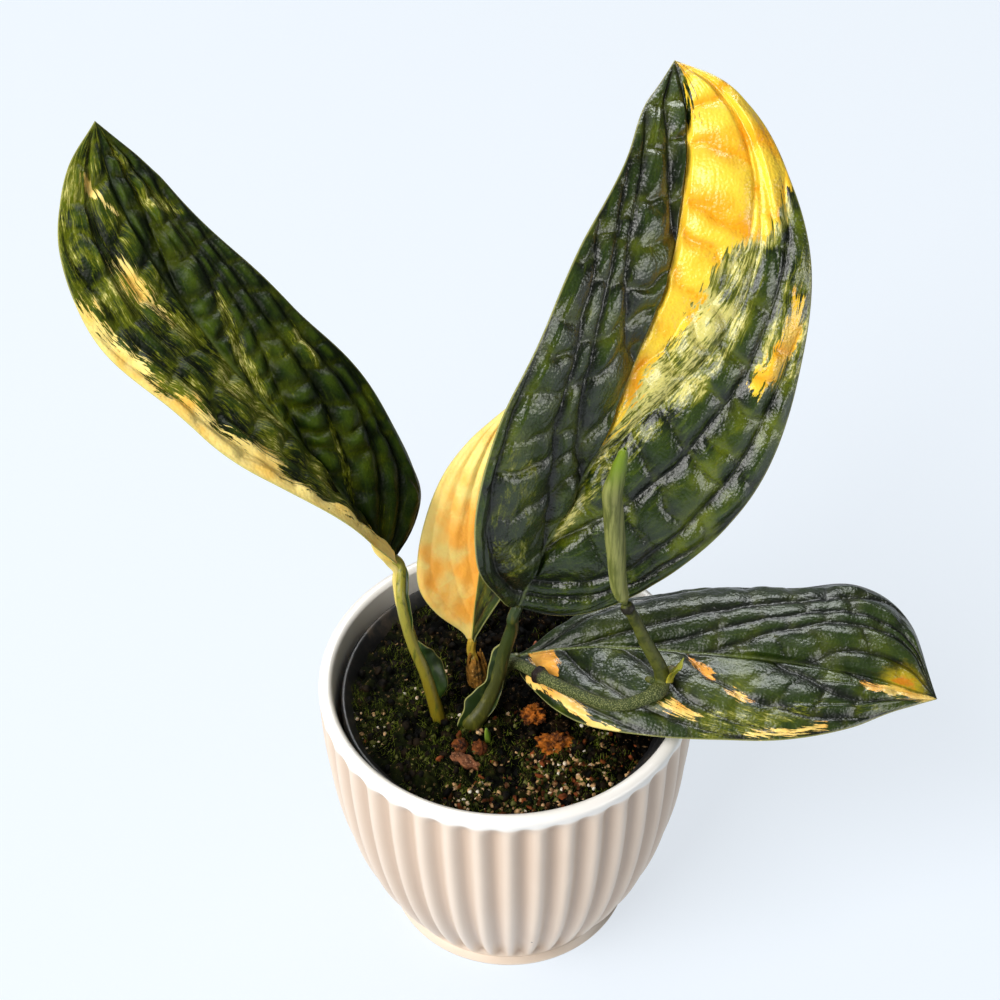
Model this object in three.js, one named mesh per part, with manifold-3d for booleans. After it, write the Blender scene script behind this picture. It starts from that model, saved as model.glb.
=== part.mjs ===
// A young variegated monstera in a nursery pot that stands in a fluted ceramic cachepot.
// Millimetres, +Z up, origin at the centre of the cachepot's foot. The front is -Y.
import * as THREE from "three";
import { mergeVertices } from "three/addons/utils/BufferGeometryUtils.js";
import Module from "manifold-3d";

// Driving dimensions
const gap = 0.3;
const weld = 1e-4;

const potHeight = 102;
const potRimRadius = 60;
const potMouthRadius = 55.6;
const potFloor = 7;
const footRadius = 41.3;
const footHeight = 2.5;
const fluteCount = 40;
const fluteDepth = 1.5;
const fluteEnd = 95;
const fluteTop = 100.3;
const stepsPerFlute = 4;
const potInnerSides = 48;

const nurseryTop = 95;
const nurseryRimRadius = 53.4;
const nurseryFootRadius = 35;
const nurseryWall = 1.2;
const nurseryLip = 4;
const nurserySides = 40;
const drainHoles = { count: 6, radius: 4, ringRadius: 24 };

const soilLevel = 90.5;
const soilSides = 40;
const soilRings = 8;
const crumbs = { count: 24, reach: 46, smallest: 1.2, spread: 1.6, seed: 7 };
const holeSides = 12;
const holeTop = soilLevel + 8;

const bladeThickness = 0.8;
const thinSheet = 0.7;
const veinsPerHalf = 7;
const veinSweep = { start: 1.4, end: 2.6, lean: 0.45, bend: 2.4 };
const quiltDepth = 2.2;
const bladeColumns = [0, 0.09, 0.21, 0.33, 0.45, 0.57, 0.69, 0.81, 0.91, 1];
const widthStations = [0, 0.03, 0.1, 0.2, 0.35, 0.5, 0.65, 0.8, 0.92, 1];
const stalkEnd = 1.5;
const keelDepth = 1.9;
const foldEase = 3;
const narrowBlade = 12;

const colours = {
  cream: 0xd9c6ae,
  black: 0x191a1c,
  earth: 0x2b2018,
  green: 0x24401f,
  stalk: 0x6d7a2c,
  darkStalk: 0x3f5a2a,
  runner: 0x55663a,
  young: 0x8fa348,
  yellow: 0xf0b54a,
  dry: 0xa8672f,
  bark: 0x8a5230,
  root: 0x8b7350,
};

const wasm = await Module();
wasm.setup();
const { Manifold, Mesh } = wasm;

// Seeded draw, so that every build gives the same crumbs and lumps
function seededDraw(seed) {
  let state = seed;
  return () => {
    state = (state * 1664525 + 1013904223) % 4294967296;
    return state / 4294967296;
  };
}

function vec(list) {
  return new THREE.Vector3(list[0], list[1], list[2]);
}

function curveThrough(points) {
  return new THREE.CatmullRomCurve3(points.map(vec), false, "catmullrom", 0.5);
}

function clamp(value, low, high) {
  return Math.min(Math.max(value, low), high);
}

function easeBetween(low, high, value) {
  const f = clamp((value - low) / (high - low), 0, 1);
  return f * f * (3 - 2 * f);
}

// Value at t of a list of [station, value], eased from each station to the next
function eased(stations, t) {
  let i = 0;
  while (i < stations.length - 2 && t > stations[i + 1][0]) i += 1;
  const f = easeBetween(stations[i][0], stations[i + 1][0], t);
  return stations[i][1] * (1 - f) + stations[i + 1][1] * f;
}

// Smooth curve through the points (xs, ys), with slopes from the neighbours
function smoothLine(xs, ys, x) {
  let i = 0;
  while (i < xs.length - 2 && x > xs[i + 1]) i += 1;
  const slope = (k) => {
    const a = Math.max(k - 1, 0);
    const b = Math.min(k + 1, xs.length - 1);
    return (ys[b] - ys[a]) / (xs[b] - xs[a]);
  };
  const step = xs[i + 1] - xs[i];
  const f = clamp((x - xs[i]) / step, 0, 1);
  const start = (1 + 2 * f) * (1 - f) ** 2 * ys[i] + f * (1 - f) ** 2 * step * slope(i);
  const end = f * f * (3 - 2 * f) * ys[i + 1] - f * f * (1 - f) * step * slope(i + 1);
  return start + end;
}

// Solid from a list of triangles, each three points, turned so that its faces point out
function solidFrom(triangles) {
  const flat = new Float32Array(triangles.length * 9);
  triangles.forEach((corners, i) => {
    corners.forEach((p, j) => p.toArray(flat, i * 9 + j * 3));
  });
  const loose = new THREE.BufferGeometry();
  loose.setAttribute("position", new THREE.BufferAttribute(flat, 3));
  const merged = mergeVertices(loose, weld);
  const index = Array.from(merged.index.array);
  const kept = [];
  for (let i = 0; i < index.length; i += 3) {
    const [a, b, c] = index.slice(i, i + 3);
    if (a !== b && b !== c && a !== c) kept.push(a, b, c);
  }
  const vertProperties = merged.attributes.position.array;
  if (signedVolume(vertProperties, kept) < 0) kept.reverse();
  return new Manifold(new Mesh({ numProp: 3, vertProperties, triVerts: new Uint32Array(kept) }));
}

function signedVolume(positions, index) {
  const corner = (k) => new THREE.Vector3().fromArray(positions, index[k] * 3);
  let total = 0;
  for (let i = 0; i < index.length; i += 3) {
    total += corner(i).dot(corner(i + 1).cross(corner(i + 2)));
  }
  return total / 6;
}

function addQuad(triangles, a, b, c, d) {
  triangles.push([a, b, c], [a, c, d]);
}

// Solid through rings of points, closed at both ends by a fan
function loft(rings) {
  const triangles = [];
  const count = rings[0].length;
  for (let i = 0; i < rings.length - 1; i += 1) {
    for (let j = 0; j < count; j += 1) {
      const k = (j + 1) % count;
      addQuad(triangles, rings[i][j], rings[i][k], rings[i + 1][k], rings[i + 1][j]);
    }
  }
  const middle = (ring) => {
    const sum = ring.reduce((total, p) => total.add(p), new THREE.Vector3());
    return sum.divideScalar(count);
  };
  const first = rings[0];
  const last = rings[rings.length - 1];
  const firstMiddle = middle(first);
  const lastMiddle = middle(last);
  for (let j = 0; j < count; j += 1) {
    const k = (j + 1) % count;
    triangles.push([firstMiddle, first[k], first[j]]);
    triangles.push([lastMiddle, last[j], last[k]]);
  }
  return solidFrom(triangles);
}

// Solid of revolution round the vertical, radius given for each height and angle
function turned(profile, sides, radiusAt = (radius) => radius) {
  const rings = profile.map(([radius, z]) => {
    const ring = [];
    for (let j = 0; j < sides; j += 1) {
      const angle = (2 * Math.PI * j) / sides;
      const r = radiusAt(radius, z, j);
      ring.push(new THREE.Vector3(r * Math.cos(angle), r * Math.sin(angle), z));
    }
    return ring;
  });
  return loft(rings);
}

// Stalk along a curve: radii are eased from station to station, section is a unit outline
function stalk(curve, radii, { steps, section, grow = 0 }) {
  const frames = curve.computeFrenetFrames(steps, false);
  const rings = [];
  for (let i = 0; i <= steps; i += 1) {
    const t = i / steps;
    const centre = curve.getPointAt(t);
    if (i === 0) centre.addScaledVector(frames.tangents[0], -grow);
    if (i === steps) centre.addScaledVector(frames.tangents[steps], grow);
    const radius = eased(radii, t) + grow;
    rings.push(
      section.map(([x, y]) =>
        centre
          .clone()
          .addScaledVector(frames.normals[i], x * radius)
          .addScaledVector(frames.binormals[i], y * radius),
      ),
    );
  }
  return loft(rings);
}

function roundSection(sides) {
  return Array.from({ length: sides }, (_, j) => {
    const angle = (2 * Math.PI * j) / sides;
    return [Math.cos(angle), Math.sin(angle)];
  });
}

// Thin closed sheet from a grid of cells { point, up, above, below }, alike on both faces
function thickSheet(grid) {
  const top = grid.map((row) => row.map((c) => c.point.clone().addScaledVector(c.up, c.above)));
  const foot = grid.map((row) => row.map((c) => c.point.clone().addScaledVector(c.up, -c.below)));
  const rows = grid.length;
  const columns = grid[0].length;
  const triangles = [];
  for (let i = 0; i < rows - 1; i += 1) {
    for (let j = 0; j < columns - 1; j += 1) {
      addQuad(triangles, top[i][j], top[i][j + 1], top[i + 1][j + 1], top[i + 1][j]);
      triangles.push([foot[i][j], foot[i + 1][j + 1], foot[i][j + 1]]);
      triangles.push([foot[i][j], foot[i + 1][j], foot[i + 1][j + 1]]);
    }
  }
  const loop = [];
  for (let j = 0; j < columns - 1; j += 1) loop.push([0, j]);
  for (let i = 0; i < rows - 1; i += 1) loop.push([i, columns - 1]);
  for (let j = columns - 1; j > 0; j -= 1) loop.push([rows - 1, j]);
  for (let i = rows - 1; i > 0; i -= 1) loop.push([i, 0]);
  loop.forEach(([i, j], at) => {
    const [k, l] = loop[(at + 1) % loop.length];
    addQuad(triangles, foot[i][j], foot[k][l], top[k][l], top[i][j]);
  });
  return solidFrom(triangles);
}

function meshOf(solid, name, colour, roughness = 0.6) {
  const { vertProperties, triVerts } = solid.getMesh();
  const geometry = new THREE.BufferGeometry();
  geometry.setAttribute("position", new THREE.BufferAttribute(vertProperties, 3));
  geometry.setIndex(new THREE.BufferAttribute(triVerts, 1));
  geometry.computeVertexNormals();
  const material = new THREE.MeshStandardMaterial({ color: colour, roughness, metalness: 0 });
  const mesh = new THREE.Mesh(geometry, material);
  mesh.name = name;
  return mesh;
}

// Cachepot
function potRadius(z) {
  const down = 1 - z / potHeight;
  return potRimRadius * (1 + 0.03 * down - 0.25 * down ** 2 - 0.15 * down ** 4);
}

// Concave flute between two soft ridges, running out below the rim and above the foot
function flutedRadius(radius, z, step) {
  const low = footHeight + 0.3;
  if (z < low) return radius;
  const across = Math.sin((Math.PI * (step % stepsPerFlute)) / stepsPerFlute) ** 0.8;
  const fade = easeBetween(low, low + 4, z) * (1 - easeBetween(fluteEnd, fluteTop, z));
  return radius - fluteDepth * across * fade;
}

function cachepot() {
  const bodyHeights = [footHeight + 0.2, 7.5, 20, 38, 62, 86, 96.5, fluteTop];
  const outside = [
    [footRadius - 0.5, 0],
    [footRadius, footHeight - 0.4],
    [potRadius(footHeight) + 0.5, footHeight],
    ...bodyHeights.map((z) => [potRadius(z), z]),
    [potRimRadius - 0.8, potHeight],
  ];
  const inside = [
    [36.4, potFloor],
    [38, potFloor + 1.6],
    [41, 13],
    [47.2, 29],
    [52, 50],
    [potMouthRadius - 0.4, 90],
    [potMouthRadius, potHeight - 1],
    [potMouthRadius + 0.9, potHeight],
    [potMouthRadius + 0.9, potHeight + 2],
  ];
  const body = turned(outside, fluteCount * stepsPerFlute, flutedRadius);
  return body.subtract(turned(inside, potInnerSides));
}

// Nursery pot, standing on the cachepot's floor
const nurseryFloor = potFloor + gap;

function nurseryRadius(z) {
  const up = (z - nurseryFloor) / (nurseryTop - nurseryFloor);
  return nurseryFootRadius + (nurseryRimRadius - 1.2 - nurseryFootRadius) * up;
}

function drainHole(k) {
  const { count, radius, ringRadius } = drainHoles;
  const angle = (2 * Math.PI * k) / count;
  const hole = turned([[radius, nurseryFloor - 2], [radius, nurseryFloor + 4]], 8);
  return hole.translate([ringRadius * Math.cos(angle), ringRadius * Math.sin(angle), 0]);
}

function nurseryPot() {
  const lipFoot = nurseryTop - nurseryLip;
  const outside = [
    [nurseryFootRadius - 1, nurseryFloor],
    [nurseryFootRadius, nurseryFloor + 1],
    [nurseryRadius(lipFoot), lipFoot],
    [nurseryRimRadius, lipFoot + 0.6],
    [nurseryRimRadius, nurseryTop - 0.5],
    [nurseryRimRadius - 0.5, nurseryTop],
  ];
  const inside = [
    [nurseryFootRadius - 2 * nurseryWall, nurseryFloor + nurseryWall],
    [nurseryRadius(lipFoot) - nurseryWall, lipFoot],
    [nurseryRadius(nurseryTop) - nurseryWall, nurseryTop],
    [nurseryRadius(nurseryTop) - nurseryWall, nurseryTop + 2],
  ];
  let pot = turned(outside, nurserySides).subtract(turned(inside, nurserySides));
  for (let k = 0; k < drainHoles.count; k += 1) pot = pot.subtract(drainHole(k));
  return pot;
}

// Leaves: an arched spine, two halves folded up from it and curled down towards the margin
const leaves = {
  left_leaf: {
    spine: curveThrough([
      [-34.5, 10.5, 143],
      [-45.5, 12, 161.5],
      [-62, 19.5, 184.5],
      [-81, 29, 206.5],
      [-101.5, 45.5, 230.5],
      [-113, 60, 247],
      [-118.5, 74.5, 261],
    ]),
    faceAtBase: [0.55, -0.5, 0.65],
    faceAtTip: [0.45, -0.6, 0.6],
    leftWidths: [7.5, 14.5, 20.5, 26, 27.8, 29.2, 23.5, 13],
    rightWidths: [20.5, 26, 29, 30.5, 28.5, 24.5, 19, 11.5],
    leftFold: [[0, 70], [0.12, 64], [0.45, 36], [0.7, 20], [1, 15]],
    rightFold: [[0, 20], [0.3, 22], [1, 15]],
    leftCurl: [[0, 20], [1, 35]],
    rightCurl: [[0, 35], [1, 40]],
    wave: 1.2,
    waves: 3.5,
  },
  big_leaf: {
    spine: curveThrough([
      [3.5, -7.5, 140],
      [12.5, -1, 161.5],
      [25.5, 7.5, 186],
      [40.5, 23.5, 217.5],
      [49, 37.5, 237],
      [53, 55, 255.5],
      [53, 69.5, 267],
      [50.5, 81, 275],
    ]),
    faceAtBase: [0.15, -0.85, 0.5],
    faceAtTip: [0.05, -0.85, 0.53],
    leftWidths: [11.5, 27, 37.5, 42, 39.5, 33, 21, 11],
    rightWidths: [18, 30.5, 38.5, 46.5, 48.5, 42.5, 30.5, 16.5],
    leftFold: [[0, 50], [0.4, 48], [1, 35]],
    rightFold: [[0, 15], [0.5, 20], [1, 25]],
    leftCurl: [[0, 20], [1, 30]],
    rightCurl: [[0, 25], [1, 40]],
    wave: 1.4,
    waves: 3,
  },
  yellow_leaf: {
    spine: curveThrough([
      [-11, 11, 105.5],
      [-9.5, 15, 119.5],
      [-6.5, 22, 139.5],
      [-3.5, 30, 157.5],
      [0.5, 38, 171.5],
      [4.5, 43, 180],
    ]),
    faceAtBase: [-0.2, -0.9, 0.4],
    faceAtTip: [-0.2, -0.9, 0.4],
    leftWidths: [3.5, 12, 18.5, 20.5, 19.5, 16, 10, 3.5],
    rightWidths: [2.5, 6, 10.5, 16, 18, 16, 10.5, 4],
    leftFold: [[0, 20], [1, 15]],
    rightFold: [[0, 60], [1, 50]],
    leftCurl: [[0, 25], [1, 25]],
    rightCurl: [[0, 20], [1, 20]],
    wave: 0.8,
    waves: 2,
  },
  right_leaf: {
    spine: curveThrough([
      [3.5, 3.5, 105.5],
      [17, 2, 110],
      [35.5, -1, 113.5],
      [60.5, -5.5, 115.5],
      [87, -9.5, 115.5],
      [113.5, -13.5, 112.5],
      [133.5, -17.5, 107],
    ]),
    faceAtBase: [-0.08, -0.1, 1],
    faceAtTip: [-0.05, -0.1, 1],
    leftWidths: [6, 17, 24, 30, 34, 37, 38, 26],
    rightWidths: [11.5, 22, 29, 31, 30, 27.5, 19.5, 8],
    leftFold: [[0, 50], [0.5, 42], [1, 22]],
    rightFold: [[0, 25], [0.5, 18], [1, 15]],
    leftCurl: [[0, 120], [0.5, 100], [1, 45]],
    rightCurl: [[0, 60], [0.5, 50], [1, 40]],
    wave: 1,
    waves: 3,
  },
};

function halfWidth(leaf, side, t) {
  const list = side > 0 ? leaf.rightWidths : leaf.leftWidths;
  const stations = widthStations.map(Math.sqrt);
  return Math.max(smoothLine(stations, [stalkEnd, ...list, 0], Math.sqrt(t)), 0);
}

function spineFrame(leaf, t) {
  const ahead = leaf.spine.getPointAt(Math.min(t + 0.01, 1));
  const behind = leaf.spine.getPointAt(Math.max(t - 0.01, 0));
  const along = ahead.sub(behind).normalize();
  const up = vec(leaf.faceAtBase).lerp(vec(leaf.faceAtTip), easeBetween(0, 1, t));
  up.addScaledVector(along, -up.dot(along)).normalize();
  const right = new THREE.Vector3().crossVectors(along, up);
  return { at: leaf.spine.getPointAt(t), along, up, right };
}

// Veins leave the spine at a slant and sweep forward, so a row q meets the margin ahead of its start
function rowPlace(q, u) {
  const start = q ** veinSweep.start;
  const end = 1 - (1 - q) ** veinSweep.end;
  return start + (end - start) * (veinSweep.lean * u + (1 - veinSweep.lean) * u ** veinSweep.bend);
}

// Sunken veins on the even rows, and pillows between them
function quilt(row, column, q) {
  const band = row % 2 === 0 ? -0.5 : 0.5;
  const pillow = row % 2 === 1 && (column + Math.floor(row / 2)) % 2 === 0 ? 0.25 : 1;
  const inner = column === 0 || column === bladeColumns.length - 1 ? 0.25 : 1;
  return quiltDepth * band * pillow * inner * Math.sin(Math.PI * clamp(q, 0.08, 0.92)) ** 0.5;
}

function bladeCell(leaf, side, row, column, q) {
  const u = bladeColumns[column];
  const t = rowPlace(q, u);
  const { at, up, right } = spineFrame(leaf, t);
  const width = halfWidth(leaf, side, t);
  const fold = THREE.MathUtils.degToRad(eased(side > 0 ? leaf.rightFold : leaf.leftFold, t));
  const curl = THREE.MathUtils.degToRad(eased(side > 0 ? leaf.rightCurl : leaf.leftCurl, t));
  const turn = fold - curl * u;
  const out = (width * (Math.sin(fold) - Math.sin(turn))) / curl;
  const rise = (width * (Math.cos(turn) - Math.cos(fold))) / curl;
  const point = at.clone().addScaledVector(right, side * out).addScaledVector(up, rise);
  const normal = up.clone().multiplyScalar(Math.cos(turn));
  normal.addScaledVector(right, -side * Math.sin(turn));
  const share = clamp(width / narrowBlade, 0, 1);
  const wave = leaf.wave * u ** 3 * Math.sin(2 * Math.PI * leaf.waves * t + side) * share;
  point.addScaledVector(normal, quilt(row, column, q) * share + wave);
  const keel = column === 0 ? keelDepth * (1 - t) ** 0.7 : 0;
  return {
    point,
    up: up.clone().lerp(normal, easeBetween(0, foldEase, width * u)).normalize(),
    above: bladeThickness / 2,
    below: bladeThickness / 2 + keel,
  };
}

function blade(leaf) {
  const rows = 2 * (veinsPerHalf + 1);
  const last = bladeColumns.length - 1;
  const grid = [];
  for (let i = 0; i <= rows; i += 1) {
    const q = i / rows;
    const row = [];
    for (let j = last; j > 0; j -= 1) row.push(bladeCell(leaf, -1, i, j, q));
    for (let j = 0; j <= last; j += 1) row.push(bladeCell(leaf, 1, i, j, q));
    grid.push(row);
  }
  const tip = grid[rows];
  tip.forEach((cell) => Object.assign(cell, tip[last]));
  return thickSheet(grid);
}

// Wavy wing that stands out from a stalk: widths are eased along it, its root is sunk in the stalk
function wing(curve, { from, to, outward, widths, wave, waves, steps }) {
  const grid = [];
  for (let i = 0; i <= steps; i += 1) {
    const f = i / steps;
    const t = from + (to - from) * f;
    const at = curve.getPointAt(t);
    const along = curve.getTangentAt(t);
    const out = vec(outward).addScaledVector(along, -vec(outward).dot(along)).normalize();
    const up = new THREE.Vector3().crossVectors(out, along);
    const width = eased(widths, f);
    const row = [0, 0.5, 1].map((share) => {
      const bend = wave * share * share * Math.sin(2 * Math.PI * waves * f);
      const point = at.clone().addScaledVector(out, share * width).addScaledVector(up, bend);
      return { point, up, above: 0.4, below: 0.4 };
    });
    grid.push(row);
  }
  return thickSheet(grid);
}

// Stalks
function leafStalk(points, leafName, radii, steps) {
  const base = leaves[leafName].spine.getPointAt(0);
  const along = leaves[leafName].spine.getTangentAt(0);
  const end = base.clone().addScaledVector(along, -gap - 0.1).toArray();
  const before = base.clone().addScaledVector(along, -4).toArray();
  const curve = curveThrough([...points, before, end]);
  return { curve, solid: stalk(curve, radii, { steps, section: roundSection(8) }) };
}

function leftPetiole() {
  const points = [
    [-21.5, -9, soilLevel - 9],
    [-22, -8.8, 91],
    [-25.5, -4.2, 106],
    [-29.5, -1, 118],
    [-32.5, 3, 133],
  ];
  const { curve, solid } = leafStalk(points, "left_leaf", [[0, 2.4], [0.5, 1.9], [1, 1.6]], 14);
  const flange = {
    from: 0.2,
    to: 0.6,
    outward: [1, -0.25, 0],
    widths: [[0, 1], [0.25, 6.5], [0.7, 5.5], [1, 1]],
    wave: 1.3,
    waves: 1.5,
    steps: 12,
  };
  return solid.add(wing(curve, flange));
}

function centrePetiole() {
  const points = [
    [-12, -14, 92],
    [-11.2, -13.8, 94.5],
    [-7.5, -12, 99.5],
    [-4, -8.8, 107],
    [-1, -6.5, 118],
    [1.8, -6.8, 130],
  ];
  const radii = [[0, 3.6], [0.25, 2.9], [0.6, 2.1], [1, 1.7]];
  const { curve, solid } = leafStalk(points, "big_leaf", radii, 14);
  const leftFlange = {
    from: 0.02,
    to: 0.72,
    outward: [-0.8, -0.6, 0],
    widths: [[0, 5], [0.25, 8], [0.6, 4.5], [1, 1]],
    wave: 1.2,
    waves: 1.6,
    steps: 16,
  };
  const rightFlange = {
    from: 0.05,
    to: 0.6,
    outward: [1, -0.2, 0.2],
    widths: [[0, 2], [0.3, 5], [1, 1]],
    wave: 0.7,
    waves: 1,
    steps: 10,
  };
  return solid.add(wing(curve, leftFlange)).add(wing(curve, rightFlange));
}

function yellowPetiole() {
  const points = [
    [-9.6, 4.8, soilLevel - 7],
    [-9.8, 5.2, 92],
    [-10.2, 7.2, 98.5],
  ];
  return leafStalk(points, "yellow_leaf", [[0, 1.7], [1, 1.4]], 8).solid;
}

function rightPetiole() {
  const points = [
    [-3.5, 10.5, soilLevel - 7],
    [-3.2, 10, 92],
    [-1.2, 7.5, 100.5],
  ];
  return leafStalk(points, "right_leaf", [[0, 2], [1, 1.5]], 8).solid;
}

// Dried sheath round the foot of the small leaf's stalk: an open, flaring, wavy half tube
const dryCuff = {
  foot: new THREE.Vector3(-9.7, 5, 92.2),
  rows: 6,
  columns: 9,
  radius: 2.8,
  flare: 1.5,
  height: 11.5,
  ragged: 1.8,
};

function drySheath() {
  const { foot, rows, columns, radius, flare, height, ragged } = dryCuff;
  const grid = [];
  for (let i = 0; i <= rows; i += 1) {
    const f = i / rows;
    const row = [];
    for (let j = 0; j <= columns; j += 1) {
      const angle = Math.PI * (0.85 + (1.3 * j) / columns);
      const reach = radius + flare * f * f + 0.35 * Math.sin(5 * angle) * f;
      const rise = f * (height + ragged * Math.sin(3 * angle));
      const up = new THREE.Vector3(Math.cos(angle), Math.sin(angle), 0);
      const point = foot.clone().addScaledVector(up, reach);
      point.add(new THREE.Vector3(-0.8 * f, 1.4 * f, rise));
      row.push({ point, up, above: thinSheet / 2, below: thinSheet / 2 });
    }
    grid.push(row);
  }
  return thickSheet(grid);
}

// Runner: a rough stem that leaves the soil, passes a scar ring and turns up at a node
const runnerPath = curveThrough([
  [-2.5, 3.5, soilLevel - 7],
  [-2.4, 3.4, 92],
  [-1, 0.6, 102],
  [3, -3.2, 110],
  [10.7, -12, 113.5],
  [20.5, -19.6, 114.5],
  [32.7, -25.6, 115],
  [43.5, -24.2, 117.6],
  [47.3, -20.5, 119.2],
  [46.6, -18.4, 124],
  [42, -17.2, 134],
  [38.4, -16, 143],
  [35.3, -16.5, 150],
]);
const scarPlace = 0.315;
const nodePlace = 0.685;

function ringAt(curve, t, radius, length, sides) {
  const at = curve.getPointAt(t);
  const along = curve.getTangentAt(t);
  const points = [-0.5, 0, 0.5].map((f) => at.clone().addScaledVector(along, f * length).toArray());
  const radii = [[0, radius - 0.5], [0.5, radius], [1, radius - 0.5]];
  return stalk(curveThrough(points), radii, { steps: 2, section: roundSection(sides) });
}

function runner() {
  const radii = [[0, 1.9], [0.3, 1.9], [0.6, 1.9], [nodePlace, 2.7], [0.78, 2.2], [1, 1.8]];
  const stem = stalk(runnerPath, radii, { steps: 40, section: roundSection(7) });
  const nubFoot = runnerPath.getPointAt(nodePlace + 0.03);
  const nubTip = nubFoot.clone().add(new THREE.Vector3(-5.2, 1.2, 0.8));
  const nubPath = curveThrough([nubFoot.toArray(), nubTip.toArray()]);
  const nub = stalk(nubPath, [[0, 1.2], [1, 0.8]], { steps: 3, section: roundSection(6) });
  return stem
    .add(ringAt(runnerPath, scarPlace, 2.7, 2, 8))
    .add(ringAt(runnerPath, 0.985, 2.3, 1.2, 8))
    .add(nub);
}

// Remnant of the sheath at the node: an open cuff on the outer side of the bend
const nodeCuff = { place: nodePlace + 0.035, rows: 5, columns: 6, radius: 3.5, flare: 2.2, height: 7.5 };

function nodeSheath() {
  const { rows, columns, radius, flare, height } = nodeCuff;
  const centre = runnerPath.getPointAt(nodeCuff.place);
  const along = runnerPath.getTangentAt(nodeCuff.place);
  const right = new THREE.Vector3(1, 0, 0).addScaledVector(along, -along.x).normalize();
  const front = new THREE.Vector3().crossVectors(along, right);
  const grid = [];
  for (let i = 0; i <= rows; i += 1) {
    const f = i / rows;
    const row = [];
    for (let j = 0; j <= columns; j += 1) {
      const angle = Math.PI * (-0.42 + (0.84 * j) / columns);
      const up = right.clone().multiplyScalar(Math.cos(angle)).addScaledVector(front, Math.sin(angle));
      const peak = 1 - 0.45 * Math.abs(angle);
      const point = centre.clone().addScaledVector(up, radius + flare * f * f);
      point.addScaledVector(along, height * f * peak);
      row.push({ point, up, above: thinSheet / 2, below: thinSheet / 2 });
    }
    grid.push(row);
  }
  return thickSheet(grid);
}

// New leaf, still rolled up: a spiral section with its free edge as a step down one side
function furledLeaf() {
  const foot = runnerPath.getPointAt(1).addScaledVector(runnerPath.getTangentAt(1), gap + 0.05);
  const path = curveThrough([
    foot.toArray(),
    [33.2, -16.7, 159],
    [32, -16.9, 174],
    [30.8, -17.7, 189],
    [30.2, -18.7, 197],
    [31.3, -19.2, 204],
    [32.9, -20.3, 215],
  ]);
  const sides = 11;
  const section = Array.from({ length: sides }, (_, j) => {
    const angle = (2 * Math.PI * j) / (sides - 1) + 0.4;
    const radius = 0.82 + (0.28 * j) / (sides - 1);
    return [radius * Math.cos(angle), radius * Math.sin(angle)];
  });
  const radii = [[0, 1.7], [0.15, 2.6], [0.45, 3.1], [0.72, 3], [0.88, 2], [1, 0.5]];
  return stalk(path, radii, { steps: 18, section });
}

// Rootstock: the short stem at the soil, two cut stubs and thick roots in the soil
const stubEnds = [
  [-14.8, -22.3, 94.5],
  [-9.2, -23, 94.2],
];
const rootEnds = [
  [25, -22, 30],
  [-30, -14, 36],
  [6, 30, 28],
  [-26, 20, 22],
  [-4, -34, 26],
];

function rootstock(grow = 0) {
  const section = roundSection(8);
  const stem = curveThrough([
    [-12.5, -12, 60],
    [-12, -13, 74],
    [-12, -14, 84],
    [-12, -14, 90.8],
  ]);
  let solid = stalk(stem, [[0, 3], [0.6, 4.2], [1, 4]], { steps: 6, section, grow });
  stubEnds.forEach((end) => {
    const stub = curveThrough([[-12, -15, 82], [end[0], end[1] + 1, 89], end]);
    solid = solid.add(stalk(stub, [[0, 2.4], [1, 2.7]], { steps: 4, section, grow }));
  });
  rootEnds.forEach((end, k) => {
    const middle = [-12 + (end[0] + 12) * 0.55, -13 + (end[1] + 13) * 0.55, 58 - 2 * k];
    const root = curveThrough([[-12.2, -12.6, 66], middle, end]);
    solid = solid.add(stalk(root, [[0, 1.9], [1, 0.9]], { steps: 5, section: roundSection(5), grow }));
  });
  return solid;
}

// Soil
function soilHeight(x, y) {
  const swell = 1.1 * Math.sin(x / 7.3 + 1) * Math.cos(y / 8.9) + 0.7 * Math.sin((x - y) / 4.7);
  const rim = 1 - easeBetween(42, 50, Math.hypot(x, y));
  return soilLevel + swell * (0.35 + 0.65 * rim) + 1.2 * rim;
}

function soilBody() {
  const floor = nurseryFloor + nurseryWall + gap;
  const footRing = nurseryRadius(floor) - 2 * nurseryWall - gap;
  const wall = (z) => nurseryRadius(z) - nurseryWall - gap;
  const ring = (radius, heightAt) =>
    Array.from({ length: soilSides }, (_, j) => {
      const angle = (2 * Math.PI * j) / soilSides;
      const x = radius * Math.cos(angle);
      const y = radius * Math.sin(angle);
      return new THREE.Vector3(x, y, heightAt(x, y));
    });
  const rings = [ring(footRing, () => floor), ring(wall(soilLevel) - 0.2, soilHeight)];
  for (let i = soilRings - 1; i > 0; i -= 1) {
    rings.push(ring(((wall(soilLevel) - 1) * i) / soilRings, soilHeight));
  }
  return loft(rings);
}

// Crumbs on the soil, small and uneven, each sunk well in
function withCrumbs(soil) {
  const draw = seededDraw(crumbs.seed);
  let solid = soil;
  for (let k = 0; k < crumbs.count; k += 1) {
    const angle = 2 * Math.PI * draw();
    const radius = crumbs.reach * Math.sqrt(draw());
    const x = radius * Math.cos(angle);
    const y = radius * Math.sin(angle);
    const size = crumbs.smallest + crumbs.spread * draw();
    const crumb = lump([x, y, soilHeight(x, y) + 0.1], [size, size * 0.8, size * 0.7], k, 0);
    solid = solid.add(crumb);
  }
  return solid;
}

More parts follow.
